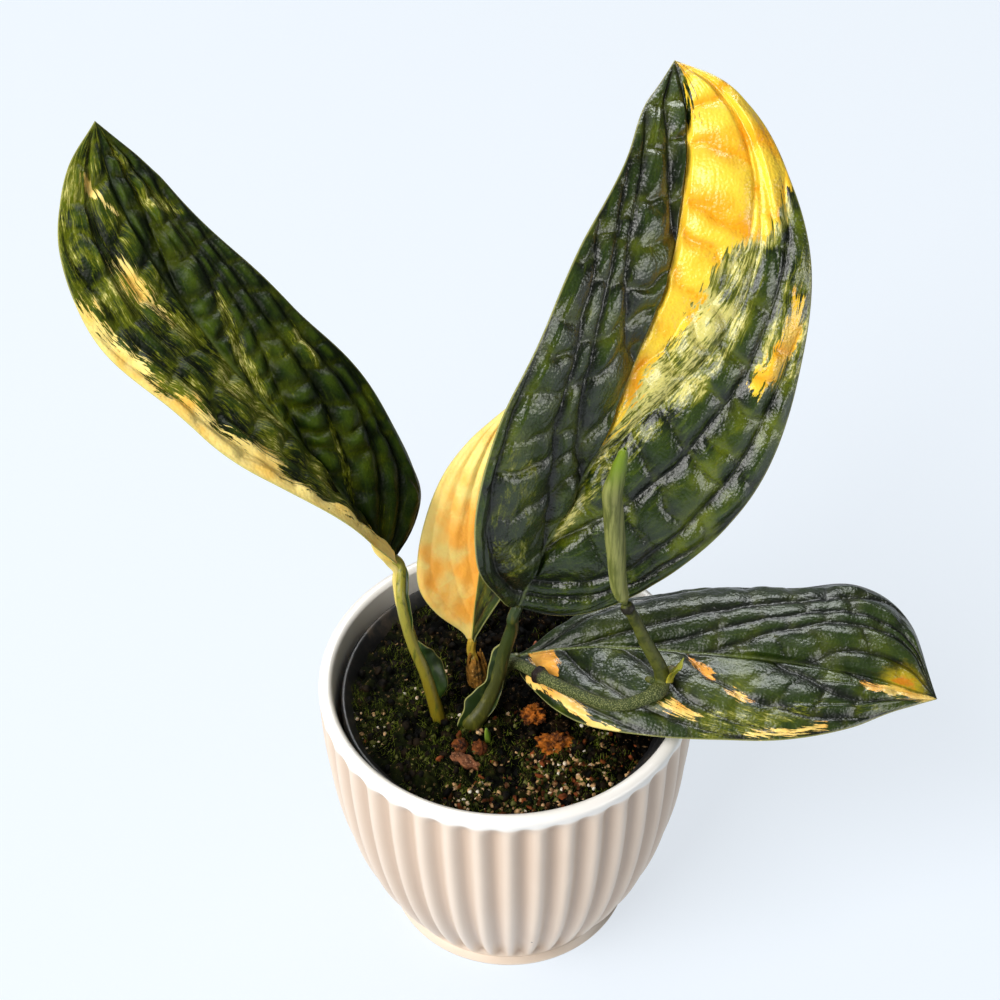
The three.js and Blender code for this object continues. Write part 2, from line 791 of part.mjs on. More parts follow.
// Uneven lump: an octahedron or finer ball with a seeded radius at each corner
function lump(centre, size, seed, detail, grow = 0) {
  const ball = new THREE.OctahedronGeometry(1, detail);
  ball.deleteAttribute("normal");
  ball.deleteAttribute("uv");
  const merged = mergeVertices(ball, weld);
  const places = merged.attributes.position;
  const draw = seededDraw(seed + 11);
  const corners = [];
  for (let i = 0; i < places.count; i += 1) {
    const p = new THREE.Vector3().fromBufferAttribute(places, i).multiplyScalar(0.8 + 0.4 * draw());
    p.set(p.x * (size[0] + grow), p.y * (size[1] + grow), p.z * (size[2] + grow));
    corners.push(p.add(vec(centre)));
  }
  const triangles = [];
  const index = merged.index.array;
  for (let i = 0; i < index.length; i += 3) {
    triangles.push([corners[index[i]], corners[index[i + 1]], corners[index[i + 2]]]);
  }
  return solidFrom(triangles);
}

// Small things in the soil, each with a dent or a hole of its own
const fibreLumps = {
  fibre_lump_left: { centre: [8.2, -9.5, 92.2], size: [3.6, 3.2, 2.6], seed: 3 },
  fibre_lump_right: { centre: [14.8, -22, 92.4], size: [5, 3.6, 3], seed: 5 },
};
const sprouts = {
  sprout_left: { path: [[-23.5, -3.5, 86], [-23.6, -3.2, 92], [-25.2, -3.8, 96.5]], radius: 0.9 },
  sprout_right: { path: [[-6.2, -19.2, 86], [-6.2, -19, 92], [-6.6, -19.6, 98]], radius: 1 },
};
const dryStalks = {
  dry_stalk_left: { path: [[7, 13.5, 86], [7.2, 13.4, 92], [9.6, 14.5, 101]], radius: 0.75 },
  dry_stalk_right: { path: [[9.6, 10.5, 86], [9.7, 10.4, 92], [12.6, 11.6, 100.5]], radius: 0.7 },
};

function fibreLump({ centre, size, seed }, grow = 0) {
  return lump(centre, size, seed, 1, grow);
}

function thinStalk({ path, radius }) {
  const radii = [[0, radius], [0.7, radius], [1, radius * 0.45]];
  return stalk(curveThrough(path), radii, { steps: 6, section: roundSection(6) });
}

function barkChip() {
  const grid = [];
  const along = new THREE.Vector3(0.93, -0.36, 0);
  const across = new THREE.Vector3(0.36, 0.93, 0);
  for (let i = 0; i <= 4; i += 1) {
    const row = [];
    for (let j = 0; j <= 2; j += 1) {
      const width = 2.2 - 0.5 * Math.abs(i - 2);
      const point = new THREE.Vector3(-13.2, -28.6, 0);
      point.addScaledVector(along, (i - 2) * 2.2).addScaledVector(across, (j - 1) * width);
      point.z = soilHeight(point.x, point.y) + 1.3;
      row.push({ point, up: new THREE.Vector3(0, 0, 1), above: 0.6, below: 0.6 });
    }
    grid.push(row);
  }
  return thickSheet(grid);
}

// Plain round hole for a stalk that stands in the soil
function stalkHole(x, y, depth, radius) {
  const bottom = soilLevel - depth - gap;
  const hole = turned([[radius + gap, bottom], [radius + gap, holeTop]], holeSides);
  return hole.translate([x, y, 0]);
}

function soil() {
  const holes = [
    [-21.7, -8.9, 9, 2.8],
    [-11.6, -13.9, 1, 4.2],
    [-9.7, 5, 7, 2.1],
    [-3.4, 10.3, 7, 2.4],
    [-2.45, 3.5, 7, 2.2],
    [-23.5, -3.4, 4.5, 1.1],
    [-6.2, -19.1, 4.5, 1.2],
    [7.1, 13.45, 4.5, 0.95],
    [9.65, 10.45, 4.5, 0.9],
  ];
  let solid = withCrumbs(soilBody()).subtract(rootstock(gap));
  holes.forEach(([x, y, depth, radius]) => {
    solid = solid.subtract(stalkHole(x, y, depth, radius));
  });
  Object.values(fibreLumps).forEach((item) => {
    solid = solid.subtract(fibreLump(item, gap));
  });
  return solid;
}

function biggestBody(solid) {
  const bodies = solid.decompose();
  return bodies.reduce((best, body) => (body.volume() > best.volume() ? body : best));
}

// The whole plant
const plant = new THREE.Group();

function place(solid, name, colour, roughness) {
  plant.add(meshOf(solid, name, colour, roughness));
}

place(cachepot(), "cachepot", colours.cream, 0.35);
place(nurseryPot(), "nursery_pot", colours.black, 0.5);
place(biggestBody(soil()), "soil", colours.earth, 0.95);
place(rootstock(), "rootstock", colours.root, 0.8);
place(leftPetiole(), "left_petiole", colours.stalk, 0.5);
place(centrePetiole(), "centre_petiole", colours.darkStalk, 0.5);
place(yellowPetiole(), "yellow_petiole", colours.stalk, 0.6);
place(rightPetiole(), "right_petiole", colours.darkStalk, 0.6);
place(drySheath(), "dry_sheath", colours.dry, 0.8);
place(runner(), "runner", colours.runner, 0.7);
place(nodeSheath(), "node_sheath", colours.young, 0.6);
place(furledLeaf(), "furled_leaf", colours.young, 0.5);
Object.entries(leaves).forEach(([name, leaf]) => {
  place(blade(leaf), name, name === "yellow_leaf" ? colours.yellow : colours.green, 0.4);
});
Object.entries(fibreLumps).forEach(([name, item]) => {
  place(fibreLump(item), name, colours.dry, 0.9);
});
Object.entries(sprouts).forEach(([name, item]) => {
  place(thinStalk(item), name, colours.young, 0.6);
});
Object.entries(dryStalks).forEach(([name, item]) => {
  place(thinStalk(item), name, colours.bark, 0.8);
});
place(barkChip(), "bark_chip", colours.bark, 0.9);

export default plant;
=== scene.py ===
# Potted variegated monstera peru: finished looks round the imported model. Metres, +Z up, front at -Y.
import math
import bmesh
import bpy
import numpy as np
from mathutils import Matrix, Vector, noise


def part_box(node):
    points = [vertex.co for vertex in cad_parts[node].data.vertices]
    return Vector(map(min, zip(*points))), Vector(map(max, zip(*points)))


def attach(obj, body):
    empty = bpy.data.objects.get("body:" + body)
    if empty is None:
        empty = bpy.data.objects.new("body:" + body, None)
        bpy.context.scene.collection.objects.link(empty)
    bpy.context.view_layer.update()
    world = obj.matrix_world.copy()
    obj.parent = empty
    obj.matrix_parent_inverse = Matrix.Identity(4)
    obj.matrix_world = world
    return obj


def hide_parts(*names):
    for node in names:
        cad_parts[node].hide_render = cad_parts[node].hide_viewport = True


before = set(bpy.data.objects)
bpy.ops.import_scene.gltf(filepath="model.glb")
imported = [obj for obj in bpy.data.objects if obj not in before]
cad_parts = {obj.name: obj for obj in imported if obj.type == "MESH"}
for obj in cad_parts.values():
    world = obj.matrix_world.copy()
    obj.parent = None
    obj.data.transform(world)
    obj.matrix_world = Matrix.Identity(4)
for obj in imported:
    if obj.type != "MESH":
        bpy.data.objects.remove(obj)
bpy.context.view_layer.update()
mm = 0.001
fullTurn = 2 * math.pi
print("stage: frame loaded")


# Camera

photoCamera = {
    "place": (0, -428.24, 577.61),
    "aim": (-1.56, 39.32, 140.6),
    "roll": -0.772,
    "lens": 72,
    "sensor": 36,
}


def addObject(name, data):
    thing = bpy.data.objects.new(name, data)
    bpy.context.scene.collection.objects.link(thing)
    return thing


def makeCamera(setup):
    data = bpy.data.cameras.new("camera")
    data.lens = setup["lens"]
    data.sensor_width = setup["sensor"]
    data.clip_start = 0.01
    data.clip_end = 20
    camera = addObject("camera", data)
    place = Vector(setup["place"]) * mm
    look = (Vector(setup["aim"]) * mm - place).to_track_quat("-Z", "Y").to_matrix()
    roll = Matrix.Rotation(math.radians(setup["roll"]), 3, "Z")
    camera.matrix_world = Matrix.Translation(place) @ (look @ roll).to_4x4()
    bpy.context.scene.camera = camera


makeCamera(photoCamera)


# Small sums used by every piece

def ease(low, high, value):
    f = np.clip((np.asarray(value, float) - low) / (high - low), 0, 1)
    return f * f * (3 - 2 * f)


def eased(stations, t):  # value at t of [(station, value), ...], eased from each station to the next
    t = np.asarray(t, float)
    out = np.full(t.shape, float(stations[0][1]))
    for (a, valueA), (b, valueB) in zip(stations[:-1], stations[1:]):
        f = ease(a, b, t)
        out = np.where(t > a, valueA * (1 - f) + valueB * f, out)
    return out


def smoothLine(xs, ys, x):  # smooth curve through the points, with slopes from the neighbours
    xs, ys = np.asarray(xs, float), np.asarray(ys, float)
    last = len(xs) - 1
    before, after = np.maximum(np.arange(last + 1) - 1, 0), np.minimum(np.arange(last + 1) + 1, last)
    slopes = (ys[after] - ys[before]) / (xs[after] - xs[before])
    i = np.clip(np.searchsorted(xs, x) - 1, 0, last - 1)
    step = xs[i + 1] - xs[i]
    f = np.clip((x - xs[i]) / step, 0, 1)
    start = (1 + 2 * f) * (1 - f) ** 2 * ys[i] + f * (1 - f) ** 2 * step * slopes[i]
    return start + f * f * (3 - 2 * f) * ys[i + 1] - f * f * (1 - f) * step * slopes[i + 1]


def unit(vectors):
    return vectors / np.linalg.norm(vectors, axis=-1, keepdims=True)


def square(vectors, along):  # the same directions turned square to another one
    return unit(vectors - np.sum(vectors * along, -1, keepdims=True) * along)


def gridOf(rows, columns):
    return np.meshgrid(rows, columns, indexing="ij")


def ringOf(angle, right, front):
    return np.cos(angle)[..., None] * right + np.sin(angle)[..., None] * front


def makeCurve(points):
    points = np.array(points, float)
    ends = [2 * points[0] - points[1]], [2 * points[-1] - points[-2]]
    curve = {"knots": np.vstack([ends[0], points, ends[1]]), "spans": len(points) - 1}
    curve["shares"] = np.linspace(0, 1, 201)
    chords = np.diff(rawCurve(curve, curve["shares"]), axis=0)
    curve["lengths"] = np.r_[0, np.cumsum(np.linalg.norm(chords, axis=1))]
    curve["length"] = curve["lengths"][-1]
    return curve


def rawCurve(curve, t):
    t = np.asarray(t, float) * curve["spans"]
    k = np.clip(np.floor(t).astype(int), 0, curve["spans"] - 1)
    f = (t - k)[..., None]
    p0, p1, p2, p3 = (curve["knots"][k + i] for i in range(4))
    v0, v1 = (p2 - p0) / 2, (p3 - p1) / 2
    return (2 * p1 - 2 * p2 + v0 + v1) * f**3 + (3 * p2 - 3 * p1 - 2 * v0 - v1) * f**2 + v0 * f + p1


def curveAt(curve, share):  # point at a share of the curve's length
    t = np.interp(np.asarray(share) * curve["length"], curve["lengths"], curve["shares"])
    return rawCurve(curve, t)


def curveAlong(curve, share, step=0.01):
    ahead = curveAt(curve, np.minimum(np.asarray(share) + step, 1))
    return unit(ahead - curveAt(curve, np.maximum(np.asarray(share) - step, 0)))


# Meshes and pieces

def addPiece(name, mesh, slot, *replaced):
    piece = addObject(name, mesh)
    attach(piece, "root")
    if replaced:
        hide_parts(*replaced)


def tidyMesh(mesh, merge=1e-6):  # doubles merged, faces outward, smooth
    edit = bmesh.new()
    edit.from_mesh(mesh)
    bmesh.ops.remove_doubles(edit, verts=edit.verts, dist=merge)
    bmesh.ops.recalc_face_normals(edit, faces=edit.faces)
    edit.to_mesh(mesh)
    edit.free()
    mesh.shade_smooth()
    return mesh


def addField(mesh, name, values, kind="FLOAT"):  # one value or vector for each point of the mesh
    layer = mesh.attributes.new(name, kind, "POINT")
    layer.data.foreach_set("value" if kind == "FLOAT" else "vector", np.asarray(values, np.float32).ravel())


def sheetMesh(name, top, foot, fields, material):  # closed thin sheet from two grids of points, in mm
    rows, columns = top.shape[:2]
    index = np.arange(rows * columns).reshape(rows, columns)
    a, b, c, d = index[:-1, :-1], index[:-1, 1:], index[1:, 1:], index[1:, :-1]
    upper = np.stack([a, b, c, d], -1).reshape(-1, 4)
    lower = np.stack([a, d, c, b], -1).reshape(-1, 4) + index.size
    loop = [*index[0, :-1], *index[:-1, -1], *index[-1, :0:-1], *index[:0:-1, 0]]
    ring, after = np.array(loop), np.roll(loop, -1)
    side = np.stack([after, ring, ring + index.size, after + index.size], -1)
    mesh = bpy.data.meshes.new(name)
    points = np.vstack([top.reshape(-1, 3), foot.reshape(-1, 3)]) * mm
    mesh.from_pydata(points.tolist(), [], np.vstack([upper, lower, side]).tolist())
    for key, values in fields.items():
        kind = "FLOAT_VECTOR" if values.ndim == 3 else "FLOAT"
        addField(mesh, key, [values, values], kind)
    addField(mesh, "under", np.repeat([0.0, 1.0], index.size))
    mesh.materials.append(material)
    return tidyMesh(mesh)


def joinMeshes(name, meshes):
    edit = bmesh.new()
    for mesh in meshes:
        edit.from_mesh(mesh)
    joined = bpy.data.meshes.new(name)
    edit.to_mesh(joined)
    edit.free()
    for material in meshes[0].materials:
        joined.materials.append(material)
    joined.shade_smooth()
    return joined


# Node trees

class Wire:  # a node's output, which can be added, subtracted and multiplied like a number
    def __init__(self, socket):
        self.socket = socket
        self.tree = socket.id_data

    def __add__(self, other):
        return calc("ADD", self, other)

    def __sub__(self, other):
        return calc("SUBTRACT", self, other)

    def __rsub__(self, other):
        return calc("SUBTRACT", other, self)

    def __mul__(self, other):
        return calc("MULTIPLY", self, other)


def join(value, socket):
    if isinstance(value, Wire):
        value.tree.links.new(value.socket, socket)
    else:
        socket.default_value = value


def put(tree, kind, inputs=None, pick=0, **settings):  # adds a node and gives one of its outputs
    node = tree.nodes.new(kind)
    for key, value in settings.items():
        setattr(node, key, value)
    for key, value in (inputs or {}).items():
        join(value, node.inputs[key])
    return Wire(node.outputs[pick])


def treeOf(*values):  # the tree that the first wire among the values belongs to
    return next(value.tree for value in values if isinstance(value, Wire))


def calc(operation, a, b=0.0, clamp=False):
    return put(treeOf(a, b), "ShaderNodeMath", {0: a, 1: b}, operation=operation, use_clamp=clamp)


def vectorCalc(operation, a, b=(0, 0, 0), pick=0):
    return put(treeOf(a), "ShaderNodeVectorMath", {0: a, 1: b}, pick, operation=operation)


def parts(vector):  # a vector's x, y and z
    return [put(vector.tree, "ShaderNodeSeparateXYZ", {0: vector}, axis) for axis in range(3)]


def srgb(red, green, blue):  # colour given as 0 to 255 on a screen
    shares = [v / 255 for v in (red, green, blue)]
    return (*[v / 12.92 if v <= 0.04045 else ((v + 0.055) / 1.055) ** 2.4 for v in shares], 1.0)


def blend(factor, a, b):  # colours are wires, or red, green and blue from 0 to 255
    inputs = {0: factor, 6: a, 7: b}
    for key in (6, 7):
        if not isinstance(inputs[key], Wire):
            inputs[key] = srgb(*inputs[key])
    return put(treeOf(factor, a, b), "ShaderNodeMix", inputs, 2, data_type="RGBA")


def spread(value, low, high):  # smooth step from low to high
    inputs = {0: value, 1: low, 2: high}
    return put(value.tree, "ShaderNodeMapRange", inputs, interpolation_type="SMOOTHSTEP")


def grainNoise(vector, scale, detail, roughness, distortion=0.0):
    scale = scale if isinstance(scale, tuple) else (scale, scale, scale)
    stretch = put(vector.tree, "ShaderNodeMapping", {0: vector, 3: scale})
    inputs = {"Vector": stretch, "Scale": 1.0, "Detail": detail, "Roughness": roughness}
    return put(vector.tree, "ShaderNodeTexNoise", {**inputs, "Distortion": distortion})


def cellNoise(vector, scale):
    return put(vector.tree, "ShaderNodeTexVoronoi", {"Vector": vector, "Scale": scale})


def newMaterial(name, shader):  # a material whose shader takes plain values from a dictionary
    material = bpy.data.materials.new(name)
    material.use_nodes = True
    surface = material.node_tree.nodes["Principled BSDF"]
    for key, value in shader.items():
        surface.inputs[key].default_value = value
    return material


def field(material, name):
    return put(material.node_tree, "ShaderNodeAttribute", None, 2, attribute_name=name)


def objectPlace(material):
    return put(material.node_tree, "ShaderNodeTexCoord", None, "Object")


def dress(material, colour, rough, height, depth, strength):  # last step of every material
    relief = {"Strength": strength, "Distance": depth, "Height": height}
    bump = put(material.node_tree, "ShaderNodeBump", relief)
    surface = material.node_tree.nodes["Principled BSDF"]
    for key, value in (("Base Color", colour), ("Roughness", rough), ("Normal", bump)):
        join(value, surface.inputs[key])
    return material


# Leaves. Widths and angles are the model's own, with pairs for the left and the right half. Veins are
# drawn through (across, along) and patches through (along, across), in percent of width and length.

leafRules = {
    "widthStations": (0, 0.03, 0.1, 0.2, 0.35, 0.5, 0.65, 0.8, 0.92, 1),
    "stalkEnd": 1.5,
    "thickness": 0.75,
    "edgeThickness": 0.3,
    "keelDepth": 1.9,
    "keelWidth": 1.5,
    "ribHeight": 0.4,
    "ribWidth": 0.5,
    "rowStep": 0.7,
    "columnStep": 0.72,
    "emptyPatch": -8.0,
    "depthOfAll": 20.0,
    "cells": {
        "count": 40, "sizes": (0.6, 1.4), "slants": (-0.45, 0.2), "bows": (-0.6, 0.6),
        "depths": (0.5, 1.0), "lifts": (0.75, 1.2), "widestBend": 16, "sway": 1.1, "swaySize": 13,
    },
    "halved": ("widths", "folds", "curls", "warmth", "veins", "relief", "cross", "cell"),
}

leaves = {
    "left_leaf": {
        "spine": [(-34.5, 10.5, 143), (-45.5, 12, 161.5), (-62, 19.5, 184.5), (-81, 29, 206.5),
            (-101.5, 45.5, 230.5), (-113, 60, 247), (-118.5, 74.5, 261)],
        "faceAtBase": (0.55, -0.5, 0.65),
        "faceAtTip": (0.45, -0.6, 0.6),
        "widths": ((9, 16.5, 22.5, 27.5, 28.6, 30.2, 24, 11.5), (20.5, 26, 29, 30.5, 28.5, 24.5, 19, 11.5)),
        "folds": ([(0, 70), (0.12, 64), (0.45, 36), (0.7, 20), (1, 15)], [(0, 20), (0.3, 22), (1, 15)]),
        "curls": ([(0, 20), (1, 35)], [(0, 35), (1, 40)]),
        "wave": 0.5,
        "waves": 3.5,
        "warmth": (1, 0.42),
        "gloss": (0.28, 0, 0.4, 0.09),
        "round": 1.8,
        "sunk": 0.3,
        "topLight": 0.5,
        "veins": (
            [
                [(0, 3), (60, 20), (81, 42), (90, 60), (100, 72)],
                [(0, 17), (29, 23), (55, 39), (66, 60), (80, 75), (100, 88)],
                [(0, 33), (20, 42), (40, 56), (50, 75), (54, 100)],
                [(0, 50), (14, 56), (30, 68), (45, 82), (50, 100)],
            ],
            [
                [(0, 1.5), (36, 4.5), (79, 13.4), (90, 28), (100, 45)],
                [(0, 4.5), (51, 14.7), (72, 26.3), (85, 46), (100, 66)],
                [(0, 12.5), (35, 25), (58, 41), (72, 58), (90, 74), (100, 84)],
                [(0, 26), (16, 37), (38, 48), (60, 64), (76, 80), (100, 95)],
                [(0, 43), (29, 54), (47, 65), (62, 80), (68, 100)],
                [(0, 63), (24, 77.5), (38, 87), (42, 100)],
            ],
        ),
        "relief": (3, 3.9),
        "cross": (0.95, 1),
        "cell": (11, 9.5),
        "seed": 11,
        "patches": [
            ("streaks", -1, 0.5, []),
            ("streaks", 1, 0.2, []),
            ("streaks", 1, 0.56, [(99, 10), (99, 80), (76, 95), (82, 30)]),
            ("streaks", -1, 0.54, [(95, 0), (85, 10), (60, 5), (55, 40), (80, 50), (96, 90)]),
            ("streaks", 1, 0.6, [(52, 10), (62, 36), (62, 50), (40, 12), (33, 0), (42, 0)]),
            ("streaks", 1, 0.6, [(47, 72), (47, 86), (38, 76), (36, 62)]),
            ("streaks", 1, 0.55, [(36, 48), (33, 50), (17, 20), (14, 3), (17, 3)]),
            ("cream", -1, 0.5, [(90.5, 60), (90.8, 53), (88, 38), (86, 28), (82, 14), (82, 18),
                (85.5, 34), (88, 50)]),
            ("cream", -1, 1.7, [(75, 42), (75.5, 32), (73, 27), (70, 29), (66, 24), (62, 25), (64, 31),
                (70, 38)]),
            ("cream", -1, 2, [(75, 160), (73, 100), (70, 88), (64, 82), (58.5, 78), (56, 90), (53, 90),
                (50, 82), (46, 73), (42, 73), (36, 60), (33, 60), (30, 78), (22, 82), (15, 64), (12, 60),
                (8, 0), (5, -60), (-10, -60), (-10, 160), (30, 160)]),
        ],
    },
    "big_leaf": {
        "spine": [(3.5, -7.5, 140), (12.5, -1, 161.5), (25.5, 7.5, 186), (40.5, 23.5, 217.5),
            (49, 37.5, 237), (53, 55, 255.5), (53, 69.5, 267), (50.5, 81, 275)],
        "faceAtBase": (0.15, -0.85, 0.5),
        "faceAtTip": (0.05, -0.85, 0.53),
        "widths": (
            (11.5, 27, 37.5, 42.5, 39, 32.5, 21, 12.5),
            (20, 32.5, 40.5, 48, 48.5, 42.5, 31.5, 17.5),
        ),
        "folds": ([(0, 50), (0.4, 48), (1, 35)], [(0, 15), (0.5, 20), (1, 25)]),
        "curls": ([(0, 20), (1, 30)], [(0, 25), (1, 40)]),
        "wave": 0.8,
        "waves": 3,
        "warmth": (0.7, 1.1),
        "gloss": (0.16, 0.15, 0.5, 0.36),
        "round": 2.2,
        "sunk": 1.15,
        "topLight": 0.15,
        "veins": (
            [
                [(0, 3), (60, 6.4), (86, 18), (93, 37), (100, 50)],
                [(0, 12), (25, 21.6), (50, 34.3), (67, 50), (82, 62), (100, 72)],
                [(0, 26), (23, 33), (42, 42), (58, 56), (75, 70), (100, 83)],
                [(0, 48), (32, 55.7), (56, 66), (72, 80), (100, 94)],
                [(0, 68), (30, 80), (50, 92), (60, 100)],
            ],
            [
                [(0, 3), (54, 5.2), (84, 11.5), (95, 25), (100, 34)],
                [(0, 5.8), (34, 7.4), (70, 15), (80, 33.6), (90, 56), (100, 66)],
                [(0, 12), (37, 27.3), (60, 48), (83, 72), (100, 83)],
                [(0, 30), (23, 43), (50, 61), (64, 75), (71, 86), (74, 100)],
                [(0, 45), (20, 57), (42, 66), (58, 75), (68, 88), (72, 100)],
            ],
        ),
        "relief": (3.2, 3.1),
        "cross": (0.9, 0.85),
        "cell": (13, 12.5),
        "seed": 23,
        "patches": [
            ("streaks", -1, 0.22, []),
            ("streaks", 1, 0.24, []),
            ("streaks", -1, 0.42, [(5, 40), (10, 30), (30, 55), (32, 90), (12, 90)]),
            ("streaks", 1, 0.76, [(79, 90), (76, 84), (70, 66), (62, 53), (57, 43), (48, 32), (40, 20),
                (30, 8), (20, 0), (45, 0), (60, 20), (70, 40)]),
            ("streaks", 1, 0.62, [(68, 66), (62, 60), (56, 55), (47, 45), (38, 30), (30, 20), (15, 8),
                (10, 0), (30, 0), (50, 30), (60, 45)]),
            ("streaks", 1, 0.56, [(72, 93), (68, 110), (58, 110), (54, 95), (49, 70), (52, 66), (62, 73),
                (68, 80)]),
            ("gold", 1, 1.5, [(98.5, 30), (105, 50), (105, 180), (82, 180), (79, 90), (75, 80), (72, 68),
                (71, 52), (69, 38), (62, 25), (55, 20), (47, 8), (40, 7), (30, 0), (30, -30), (87, -30),
                (89, 8), (93, 16), (97, 26)]),
            ("gold", 1, 1.1, [(66, 87), (65.5, 95), (60, 93), (55, 86), (50.5, 74), (51.5, 68), (56, 77),
                (61, 83)]),
        ],
    },
    "yellow_leaf": {
        "spine": [(-11, 11, 105.5), (-9.5, 15, 119.5), (-6.5, 22, 139.5), (-3.5, 30, 157.5),
            (0.5, 38, 171.5), (4.5, 43, 180)],
        "faceAtBase": (-0.2, -0.9, 0.4),
        "faceAtTip": (-0.2, -0.9, 0.4),
        "widths": ((3.5, 12, 18.5, 20.5, 19.5, 16, 10, 3.5), (2.5, 6, 10.5, 16, 18, 16, 10.5, 4)),
        "folds": ([(0, 20), (1, 15)], [(0, 60), (1, 50)]),
        "curls": ([(0, 25), (1, 25)], [(0, 20), (1, 20)]),
        "wave": 0.8,
        "waves": 2,
        "warmth": (0.6, 0.6),
        "gloss": (0.34, 0, 0.3, 0.3),
        "round": 2.2,
        "sunk": 1,
        "topLight": 0,
        "veins": (
            [
                [(0, 2), (40, 10), (75, 24), (84, 50), (96, 80), (100, 90)],
                [(0, 6), (30, 20), (55, 40), (66, 65), (72, 100)],
                [(0, 20), (20, 36), (34, 60), (40, 100)],
                [(0, 50), (16, 70), (20, 100)],
            ],
            [
                [(0, 2), (40, 10), (80, 30), (100, 60)],
                [(0, 10), (30, 25), (60, 50), (72, 75), (76, 100)],
                [(0, 30), (30, 50), (42, 75), (46, 100)],
                [(0, 60), (20, 80), (24, 100)],
            ],
        ),
        "relief": (1, 1.4),
        "cross": (0.45, 0.6),
        "cell": (12, 10),
        "seed": 31,
        "patches": [
            ("streaks", 1, 0.35, []),
            ("ripe", -1, 1, []),
        ],
    },
    "right_leaf": {
        "spine": [(3.5, 3.5, 105.5), (17, 2, 110), (35.5, -1, 113.5), (60.5, -5.5, 115.5),
            (87, -9.5, 115.5), (113.5, -13.5, 112.5), (133.5, -17.5, 107)],
        "faceAtBase": (-0.08, -0.1, 1),
        "faceAtTip": (-0.05, -0.1, 1),
        "widths": ((3.5, 12, 22, 30, 34, 37, 38, 26), (11.5, 22, 29, 31, 30, 27.5, 19.5, 8)),
        "folds": ([(0, 50), (0.5, 42), (1, 22)], [(0, 25), (0.5, 18), (1, 15)]),
        "curls": ([(0, 120), (0.5, 100), (1, 45)], [(0, 60), (0.5, 50), (1, 40)]),
        "wave": 0.6,
        "waves": 3,
        "warmth": (0.4, 0.65),
        "gloss": (0.19, 0.08, 0.45, 0.34),
        "round": 2.6,
        "sunk": 1.2,
        "topLight": 0.1,
        "quiet": 0.26,
        "veins": (
            [
                [(0, 2), (50, 15), (80, 35), (90, 60), (100, 85)],
                [(0, 10), (36, 38), (56, 58), (70, 74), (100, 93)],
                [(0, 27), (20, 44), (40, 60), (56, 78), (64, 100)],
                [(0, 45), (25, 59.6), (41, 74), (50, 90), (52, 100)],
                [(0, 68), (20, 80), (28, 100)],
            ],
            [
                [(0, 2), (61, 8.1), (78, 17.8), (91, 28.3), (100, 36)],
                [(0, 11), (33, 17), (59, 25.3), (80, 38), (100, 58)],
                [(0, 25.5), (45, 38.7), (72, 48), (88, 60), (100, 76)],
                [(0, 40), (36, 48.4), (61, 59.6), (77, 74), (100, 90)],
                [(0, 60), (33, 72.3), (55, 83), (62, 100)],
                [(0, 78), (20, 87), (26, 100)],
            ],
        ),
        "relief": (2.1, 1.8),
        "cross": (0.6, 0.7),
        "cell": (15, 12),
        "seed": 47,
        "patches": [
            ("streaks", -1, 0.12, []),
            ("streaks", 1, 0.2, []),
            ("streaks", 1, 0.46, [(45, 70), (85, 60), (90, 110), (45, 110)]),
            ("ripe", 1, 0.6, [(3, -10), (9, -10), (10, 20), (12, 38), (11, 60), (13, 80), (8, 80),
                (5, 50)]),
            ("ripe", 1, 0.5, [(3, 60), (6, 75), (17, 78), (20, 90), (27, 98), (24, 110), (2, 110)]),
            ("ripe", 1, 0.8, [(36, 66), (39, 64), (45, 76), (44, 80), (40, 74)]),
            ("ripe", 1, 0.8, [(51, 47), (54, 50), (57, 60), (54, 57)]),
            ("ripe", 1, 0.8, [(74, 86), (74, 90), (66, 96), (56, 95), (58, 91), (66, 91)]),
            ("ripe", 1, 0.6, [(81, 15), (83, 33), (87, 38), (92, 50), (97, 80), (100, 50), (99, 10),
                (90, 12), (87, 18)]),
            ("ripe", 1, 0.5, [(41, 2), (44, 12), (48, 34), (46, 34), (43, 20)]),
            ("rust", -1, 1, [(86, -10), (88, 10), (91, 20), (95, 24), (96, -10)]),
            ("rust", 1, 1, [(88, -10), (89, 8), (93, 10), (96, -10)]),
        ],
    },
}

leafTones = {
    # painted shade in the creases and valleys
    "creaseShadeGreen": (4, 8, 1),
    # painted shade for the cell valleys
    "valleyShadeGreen": (12, 21, 3),
    "leafGreen": (30, 48, 9),
    # painted light on the pillow tops
    "litTopGreen": (76, 94, 18),
    "warmGreen": (60, 76, 5),
    "mottleGreen": (84, 96, 8),
    "olive": (100, 106, 16),
    "paleFleck": (204, 196, 114),
    "lemon": (250, 210, 60),
    "deepYellow": (240, 164, 14),
    "cream": (250, 224, 136),
    "orange": (242, 192, 84),
    "ripePale": (250, 216, 124),
    "ripeDeep": (255, 176, 66),
    "rustEdge": (178, 158, 20),
    "rust": (192, 122, 12),
    "underGreen": (96, 118, 66),
    "ribGreen": (120, 134, 64),
    "edge": (170, 170, 104),
}


def oneHalf(leaf, side):  # the leaf's values for its left (-1) or right (1) half
    return {**leaf, "side": side, **{key: leaf[key][side > 0] for key in leafRules["halved"]}}


def halfWidth(half, t):
    ends = [leafRules["stalkEnd"], *half["widths"], 0]
    return np.maximum(smoothLine(np.sqrt(leafRules["widthStations"]), ends, np.sqrt(t)), 0)


